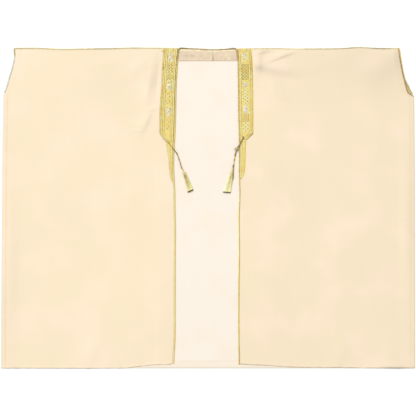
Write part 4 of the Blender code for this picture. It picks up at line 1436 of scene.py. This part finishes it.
# look and tones of the strands, and how much darker or paler they are along the way
cordLook = {
    "neck": ("darkGold", (0.42, 0.72, 0.55), (
        (-0.135, 0.34), (-0.129, 0.14), (-0.122, -0.12), (-0.09, -0.12), (-0.065, 0.06), (-0.03, 0.14),
        (0.03, 0.16), (0.08, 0.04), (0.12, -0.04), (0.127, 0.14), (0.131, 0.4),
    )),
    "shoulder": ("paleGold", (0.26, 0.6, 0.42), (
        (-0.85, -0.16), (-0.8, -0.04), (-0.76, 0.02), (-0.743, 0.12), (-0.716, 0.0), (-0.69, 0.28),
        (-0.645, 0.48), (-0.603, 0.28), (-0.559, 0.15), (-0.5, -0.04), (-0.478, -0.34), (-0.455, -0.24),
        (-0.43, -0.06), (-0.41, -0.18), (-0.358, 0.24), (-0.323, -0.16), (-0.29, 0.35), (-0.24, 0.42),
        (-0.215, 0.46), (0.194, 0.5), (0.246, 0.28), (0.316, 0.14), (0.404, 0.5), (0.43, 0.0),
        (0.5, -0.02), (0.579, -0.06), (0.631, -0.2), (0.684, 0.08), (0.719, -0.12), (0.745, -0.18),
        (0.775, -0.22), (0.789, -0.12), (0.824, 0.48),
    )),
    "frontLeft": ("gold", (0.36, 0.74, 0.56), (
        (0.04, -0.08), (0.16, 0.06), (0.3, 0.14), (0.42, 0.16), (0.54, 0.28), (0.62, 0.44),
        (1.15, 0.42), (1.24, 0.32), (1.4, 0.3),
    )),
    "frontRight": ("gold", (0.36, 0.74, 0.56), (
        (0.04, 0.02), (0.08, -0.12), (0.3, -0.14), (0.4, -0.08), (0.5, 0.1), (0.7, 0.14), (0.78, 0.28),
        (0.92, 0.28), (1.0, 0.12), (1.09, 0.02), (1.15, 0.18), (1.27, 0.06), (1.34, -0.1), (1.4, -0.12),
    )),
    "openingFrontLeft": ("silver", (0.36, 0.66, 0.5), (
        (0.016, -0.18), (0.03, -0.4), (0.044, 0.24), (0.122, 0.34), (0.136, 0.06), (0.16, 0.28),
        (0.2, 0.26),
    )),
    "openingBackLeft": ("silver", (0.62, 0.9, 0.76), (
        (0.014, -0.3), (0.03, -0.5), (0.044, 0.1), (0.2, 0.16),
    )),
    "openingFrontRight": ("bronze", (0.3, 0.56, 0.42), (
        (0.006, 0.44), (0.017, 0.28), (0.03, 0.28), (0.044, 0.0), (0.12, 0.0), (0.16, 0.1), (0.2, 0.16),
    )),
    "openingBackRight": ("paleGold", (0.44, 0.72, 0.58), (
        (0.02, 0.12), (0.08, 0.0), (0.136, 0.0), (0.15, -0.34), (0.2, -0.38),
    )),
}
# how high the flattened cords stand: a share of a round cord's height over the fronts
cordPressed = {"shoulder": 0.4, "frontLeft": 0.8, "openingFrontLeft": 0.45, "openingBackLeft": 0.45}


def makeEdgeCord(name, kind, route, diameter, node, stitches):
    look, tones, rows = cordLook[kind]
    flatness = cordPressed.get(kind, 1.0)
    measure = acrossOf if kind in ("neck", "shoulder") else dropOf
    strands = twisted(route, diameter, edgeCords["pitch"], tones, edgeCords["step"])
    threads = pressed(toned(strands, rows, measure) + stitches, flatness)
    slot = "dark_gold_cord" if kind[:4] in ("neck", "open") else "gold_thread"
    threadPiece(name, threads, look, node, sides=5, slot=slot)


def neckRoute():
    radius = garment["edgeCord"] / 2
    corner = edgeCords["neckCorner"]
    turn = np.linspace(0, pi / 2, 12)
    halves = {}
    for side in sideSign:
        legs = np.linspace(*edgeCords["neckLeg"], 8)
        legX = cordLine(side, legs)
        cornerX = cordLine(side, corner) - corner
        cornerY = topY(sideSign[side] * cornerX) - radius - corner
        x = np.concatenate([legX, cornerX + corner * np.cos(turn)])
        y = np.concatenate([sheetY(sideSign[side] * legX, legs), cornerY + corner * np.sin(turn)])
        halves[side] = stacked(sideSign[side] * x, y)
    x = np.linspace(halves["left"][-1, 0], halves["right"][-1, 0], 60)[1:-1]
    middle = stacked(x, topY(x) - radius)
    x, y = np.concatenate([halves["left"], middle, halves["right"][::-1]]).T
    return stacked(x, y, onBack + radius)


def neckDoubling():
    # a second strand lies along the outside of the neck's cord at both corners
    route = neckRoute()
    across, up = crossDirections(route)
    threads = []
    for first, last in edgeCords["doubled"]:
        inside = (route[:, 0] > first) & (route[:, 0] < last) & (dropOf(route) < 0.02)
        share = np.linspace(0, 1, inside.sum())
        swell = np.sin(pi * share)[:, None] ** 0.8
        half = edgeCords["doublingHalf"] * (0.35 + 0.65 * swell[:, 0])
        outside = route[inside] - across[inside] * garment["edgeCord"] * (0.1 + 0.46 * swell)
        threads.append(Thread(outside, half, half, 0.26 + 0.14 * np.sin(share * 40)))
    return threads


def shoulderRoute(side):
    radius = garment["shoulderCord"] / 2
    out = np.linspace(frontEdge(side, frontTopDrop), openingLine(side, 0.0), 160)
    x = sideSign[side] * out
    middle, reach, amount = edgeCords["proud"]
    y = topY(x) - radius + amount * np.exp(-(((x - middle) / reach) ** 2))
    return stacked(x, y, onBack + radius)


def frontRoute(side):
    radius = garment["edgeCord"] / 2
    drop = np.linspace(edgeCords["neckLeg"][0] + radius, hemDrop, 260)
    out = cordLine(side, drop)
    return stacked(sideSign[side] * out, frontY(side, drop, frontEdge(side, drop)), onBack + radius)


def openingRoute(side, layer):
    radius = garment["armholeCord"] / 2
    drop = np.linspace(frontTopDrop, openingEnd(side) - openingTurn, 60)
    inner = beside(frontOpeningLine, side, drop, -radius - gap / 2)
    out, height = inner, onBack + radius
    if layer == "Back":
        out, height = beside(openingLine, side, drop, radius + gap / 2), gap + radius
    return stacked(sideSign[side] * out, frontY(side, drop, inner), height)


def besideBand(side):
    # the stitches land on the band where there is one, and on the cloth below it
    bandEnd = band[sided("tail", side)][-1][0]
    onGround = onFront + band["ground"] + 2 * gap
    return lambda route: np.where(dropOf(route) < bandEnd, onGround, onFront)


def cornerThread():
    # runs from the right opening's cord to the front's corner
    start = openingRoute("right", "Front")[-1]
    past, inside, half = edgeCords["cornerEnd"]
    drop = openingEnd("right") + past
    end = frontPoint("right", frontOuterEdge("right", drop) - inside, drop, frontTop + half)
    share = np.linspace(0, 1, 12)[:, None]
    return Thread(start + (end - start) * share, half, half, 0.44 - 0.44 * share[:, 0] ** 3)


makeEdgeCord("neckCord", "neck", neckRoute(), garment["edgeCord"], "neck_cord", neckDoubling())
for side in sideSign:
    towards = sideSign[side]
    route = shoulderRoute(side)
    stitches = whipped(route, garment["shoulderCord"], towards, onFront, overStitch[sided("shoulder", side)])
    name = sided("shoulderCord", side)
    makeEdgeCord(name, "shoulder", route, garment["shoulderCord"], "shoulder_cord_" + side, stitches)
    route = frontRoute(side)
    stitches = whipped(route, garment["edgeCord"], -towards, besideBand(side), overStitch["front"])
    name, kind = sided("frontCord", side), sided("front", side)
    makeEdgeCord(name, kind, route, garment["edgeCord"], "front_cord_" + side, stitches)
    route = openingRoute(side, "Front")
    stitches = whipped(route, garment["armholeCord"], towards, onFront, overStitch["opening"])
    stitches += [cornerThread()] if side == "right" else []
    for layer, seamsAndHemShade in (("Front", stitches), ("Back", [])):
        kind, node = sided("opening" + layer, side), f"armhole_cord_{layer.lower()}_{side}"
        name = sided("openingCord" + layer, side)
        makeEdgeCord(name, kind, openingRoute(side, layer), garment["armholeCord"], node, seamsAndHemShade)


# Braid inside the right hand opening: where it starts, share of its width and tone of each thread
openingBraid = {
    "start": 0.1524,
    "threads": ((0.1, 0.56), (0.3, 0.4), (0.5, 0.1), (0.7, 0.42), (0.9, 0.66)),
}


def makeOpeningBraid():
    side = "right"
    drop = np.linspace(openingBraid["start"], openingEnd(side) - openingTurn, 40)
    inner = beside(frontOpeningLine, side, drop, gap)
    outer = backEdge(side, drop) - 0.0008
    threads = []
    for share, tone in openingBraid["threads"]:
        wave = 0.03 * np.sin(drop * 900 + share * 20)
        tone = np.clip(tone + 0.36 * np.sin(drop * 620 + share * 9), 0, 1)
        out = inner + (outer - inner) * (share + wave)
        half = np.maximum((outer - inner) * 0.11, 0.0002)
        threads.append(Thread(frontPoint(side, out, drop, onBack + 0.0005), half, 0.0006, tone))
    threadPiece("openingBraidRight", threads, "gold", "armhole_braid_right")


makeOpeningBraid()


# Hand stitches: one is modelled, and laid out along the seams and hems
print("stitches")
handStitch = {
    "long": 0.0026, "half": 0.00034, "every": 0.0046, "endShare": 0.4, "lift": 0.4,
    # how far from the front's seam and its hem's edge, from the back hem's seam and the facing's edge
    "fromSeam": 0.0016, "frontHem": 0.0055, "backHem": 0.0035, "facingHem": 0.003, "facingLift": 0.6,
    # free of stitches: below the opening, at a hem, and at the ends of a hem
    "free": {"opening": 0.012, "hem": 0.008, "start": 0.004, "ends": 0.006},
    "colour": colour(234, 216, 186), "shade": colour(216, 200, 172),
}


def makeStitchShape():
    long, half = handStitch["long"], handStitch["half"]
    deselectAll()
    bpy.ops.mesh.primitive_cylinder_add(vertices=6, radius=half, depth=long * 0.5, rotation=(0, pi / 2, 0))
    shape = bpy.context.object
    settle(shape)
    for sign in (-1, 1):
        # each end runs out thinner and dips into the cloth
        for face in shape.data.polygons:
            face.select = face.normal.x * sign > 0.9
        bpy.ops.object.mode_set(mode="EDIT")
        bpy.ops.mesh.select_mode(type="FACE")
        bpy.ops.mesh.extrude_region_move(TRANSFORM_OT_translate={"value": (sign * long * 0.25, 0, -half)})
        bpy.ops.transform.resize(value=(1, handStitch["endShare"], handStitch["endShare"]))
        bpy.ops.mesh.select_all(action="DESELECT")
        bpy.ops.object.mode_set(mode="OBJECT")
    points = np.array([vertex.co for vertex in shape.data.vertices])
    faces = [list(face.vertices) for face in shape.data.polygons]
    bpy.data.objects.remove(shape)
    return points, faces


def makeStitchMaterial():
    material, tree, shader = newMaterial("creamThread", 0.7, sheen=0.1)
    fibres = noise(tree, stretch(tree, objectPlace(tree), (900, 900, 900)), 1.0, 1.0)
    dark = mix(tree, 1.0, handStitch["colour"], handStitch["shade"], "MULTIPLY")
    tone = mix(tree, mapRange(tree, fibres, 0.4, 0.6, 0, 0.5), handStitch["colour"], dark)
    plug(tree, shader.inputs["Base Color"], tone)
    bump(tree, shader, fibres, 0.3, 0.0001)
    return material


stitchShape = makeStitchShape()
stitchMaterial = makeStitchMaterial()


def sewAlong(name, lines, slot):
    points, faces = stitchShape
    forwards, sideways, upwards = points[:, :1], points[:, 1:2], points[:, 2:]
    allPoints, allFaces = [], []
    for line in lines:
        route = evenly(line, handStitch["every"])[1:-1]
        across, up = crossDirections(route)
        ahead = np.cross(up, across)
        for number in range(len(route)):
            base = len(allPoints) * len(points)
            turned = forwards * ahead[number] - sideways * across[number] + upwards * up[number]
            allPoints.append(turned + route[number])
            allFaces += [[corner + base for corner in face] for face in faces]
    finishPiece(newPiece(name, allPoints, allFaces), stitchMaterial, slot)


def frontLine(side, out, drop):
    return frontSurface(side, out, drop)[0] + np.array([0, 0, handStitch["half"] * handStitch["lift"]])


def sewFront(side):
    free = handStitch["free"]
    drop = spread(openingEnd(side) + free["opening"], hemDrop - free["hem"], 0.004)
    seam = frontLine(side, frontOuterEdge(side, drop) - frontCloth["seam"] + handStitch["fromSeam"], drop)
    out = spread(frontEdge(side, hemDrop) + free["start"], sideX - free["ends"], 0.004)
    hem = frontLine(side, out, np.full(len(out), hemDrop - handStitch["frontHem"]))
    sewAlong(sided("seamStitches", side), [seam, hem], "cream_cloth")


def betweenFronts(drop):
    ends = handStitch["free"]["ends"]
    return spread(-cordLine("left", drop) + ends, cordLine("right", drop) - ends, 0.004)


def sewBack():
    x = betweenFronts(hemDrop)
    drop = np.full(len(x), hemDrop - backCloth["hemDepth"] + handStitch["backHem"])
    z = backHeight(x, drop, np.ones(len(x)), hemDrop - drop) + handStitch["half"] * handStitch["lift"]
    sewAlong("seamStitchesBack", [stacked(x, sheetY(x, drop), z)], "cream_cloth")


def sewFacing():
    x = betweenFronts(facing["depth"])
    y = shoulderY - facing["depth"] + handStitch["facingHem"]
    z = onBack + facing["wall"] + handStitch["half"] * handStitch["facingLift"]
    sewAlong("seamStitchesFacing", [stacked(x, y, z)], "facing_cloth")


for side in sideSign:
    sewFront(side)
sewBack()
sewFacing()


# Tassels
print("tassels")
tassel = {
    # darker: how much darker the middle is, where that is across the skirt, and how far it reaches
    "left": {
        "neck": (-0.1066, 0.1577), "tip": (-0.075, 0.0702),
        "halfEnd": 0.0138, "darker": (0.74, -0.06, 0.9),
        "tones": (0.86, 1.0), "slant": 0.06,
    },
    "right": {
        "neck": (0.1044, 0.1568), "tip": (0.082, 0.0628),
        "halfEnd": 0.017, "darker": (0.5, 0.1, 0.55),
        "tones": (0.74, 1.0), "slant": 0.14,
    },
    # distance from the neck, half width, half height
    "headRows": (
        (0.0, 0.003, 0.003), (0.003, 0.0054, 0.005), (0.008, 0.0068, 0.0059), (0.013, 0.0066, 0.0057),
        (0.016, 0.0058, 0.0052),
    ),
    # the angle from one strand to the next spreads them evenly over a round
    "strands": 110, "turnEach": 2.39996, "points": 14,
    # where the cut ends begin, as a share of the length, and the tones painted there: a highlight just above
    # the ends, then their shadow
    "endsFrom": 0.932, "cutEndLightAndShade": (0.14, -0.8, -1.0), "strandHalf": 0.00082,
    "endHalfHeight": 0.0017, "headMiddle": onBack + 0.0062, "windings": 13, "windingHalf": 0.0008,
}


def tasselFrame(side):
    neck, tip = (np.array([*tassel[side][key], 0.0]) for key in ("neck", "tip"))
    length = float(np.linalg.norm(tip - neck))
    ahead = (tip - neck) / length
    return neck, length, ahead, np.array([-ahead[1], ahead[0], 0.0])


def makeTasselHead(side):
    neck, length, ahead, across = tasselFrame(side)
    at, wide, high = np.array(tassel["headRows"]).T
    turns = np.linspace(0, 1, tassel["windings"] * 14)
    distance = 0.0006 + (at[-1] - 0.0006) * turns
    halfWide, halfHigh = np.interp(distance, at, wide), np.interp(distance, at, high)
    angle = tau * tassel["windings"] * turns
    winding = neck + ahead * distance[:, None] + across * (0.9 * halfWide * np.cos(angle))[:, None]
    winding[:, 2] += tassel["headMiddle"] + 0.9 * halfHigh * np.sin(angle)
    tone = 0.48 + 0.08 * np.sin(turns * 9)
    wound = threadMesh("winding", [Thread(winding, tassel["windingHalf"], tassel["windingHalf"], tone)])
    bpy.ops.mesh.primitive_uv_sphere_add(segments=20, ring_count=10, radius=1.0)
    core = bpy.context.object
    core.scale = (wide.max() * 0.9, at[-1] / 2, high.max() * 0.9)
    middle = neck + ahead * at[-1] / 2
    core.location = (middle[0], middle[1], tassel["headMiddle"])
    core.rotation_euler = (0, 0, atan2(ahead[1], ahead[0]) - pi / 2)
    settle(core)
    bpy.ops.object.shade_smooth()
    return wound, core


def makeSkirt(side):
    # strands spread evenly over a flattened round, which opens and sinks to the cloth towards its end
    plan = tassel[side]
    neck, length, ahead, across = tasselFrame(side)
    random = np.random.default_rng(7)
    rootAt, rootWide, rootHigh = tassel["headRows"][-1]
    up = np.array([0, 0, 1])
    endsFrom = tassel["endsFrom"]
    share = np.array([*np.linspace(0, endsFrom, tassel["points"] - 2), endsFrom + 0.01, 1.0])[:, None]
    root = share**0.5
    wide = rootWide + (plan["halfEnd"] - rootWide) * root
    high = rootHigh + (tassel["endHalfHeight"] - rootHigh) * root
    low = tassel["headMiddle"] - rootHigh
    middle = low + (onBack + gap - low) * root + high
    amount, place, reach = plan["darker"]
    threads = []
    for number in range(tassel["strands"]):
        radius = (number + 0.5) ** 0.5 / tassel["strands"] ** 0.5
        angle = number * tassel["turnEach"]
        u, v = radius * cos(angle), radius * sin(angle)
        at = rootAt - 0.002 + (length - rootAt + 0.002) * share - plan["slant"] * wide * (u + 1) * share
        sway = 0.0006 * np.sin(share * random.uniform(3, 7) + random.uniform(0, tau)) * share
        route = neck + ahead * at + across * (wide * u * 0.94 + sway) + up * (middle + high * v * 0.88)
        # paler towards the edges; at the cut ends a thin painted highlight, then dark ends that are painted
        # shadow
        core = amount * np.exp(-(((u - place) / reach) ** 2))
        tone = random.uniform(*plan["tones"]) - core * (1.0 - 0.55 * share[:, 0])
        tone[-3:] += tassel["cutEndLightAndShade"]
        half = tassel["strandHalf"] * (1 + 0.7 * share[:, 0] ** 4)
        threads.append(Thread(route, half, half, np.clip(tone, 0, 1)))
    return threadMesh(sided("tassel", side), threads, sides=4)


def makeTassel(side):
    wound, core = makeTasselHead(side)
    skirt = makeSkirt(side)
    activate(skirt)
    wound.select_set(True)
    core.select_set(True)
    bpy.ops.object.join()
    finishPiece(skirt, threadMaterial["paleGold"], "gold_thread", "tassel_" + side)
    return skirt


for side in sideSign:
    hanging = makeTassel(side)
    cord, route = freeCords[side]

print("done")
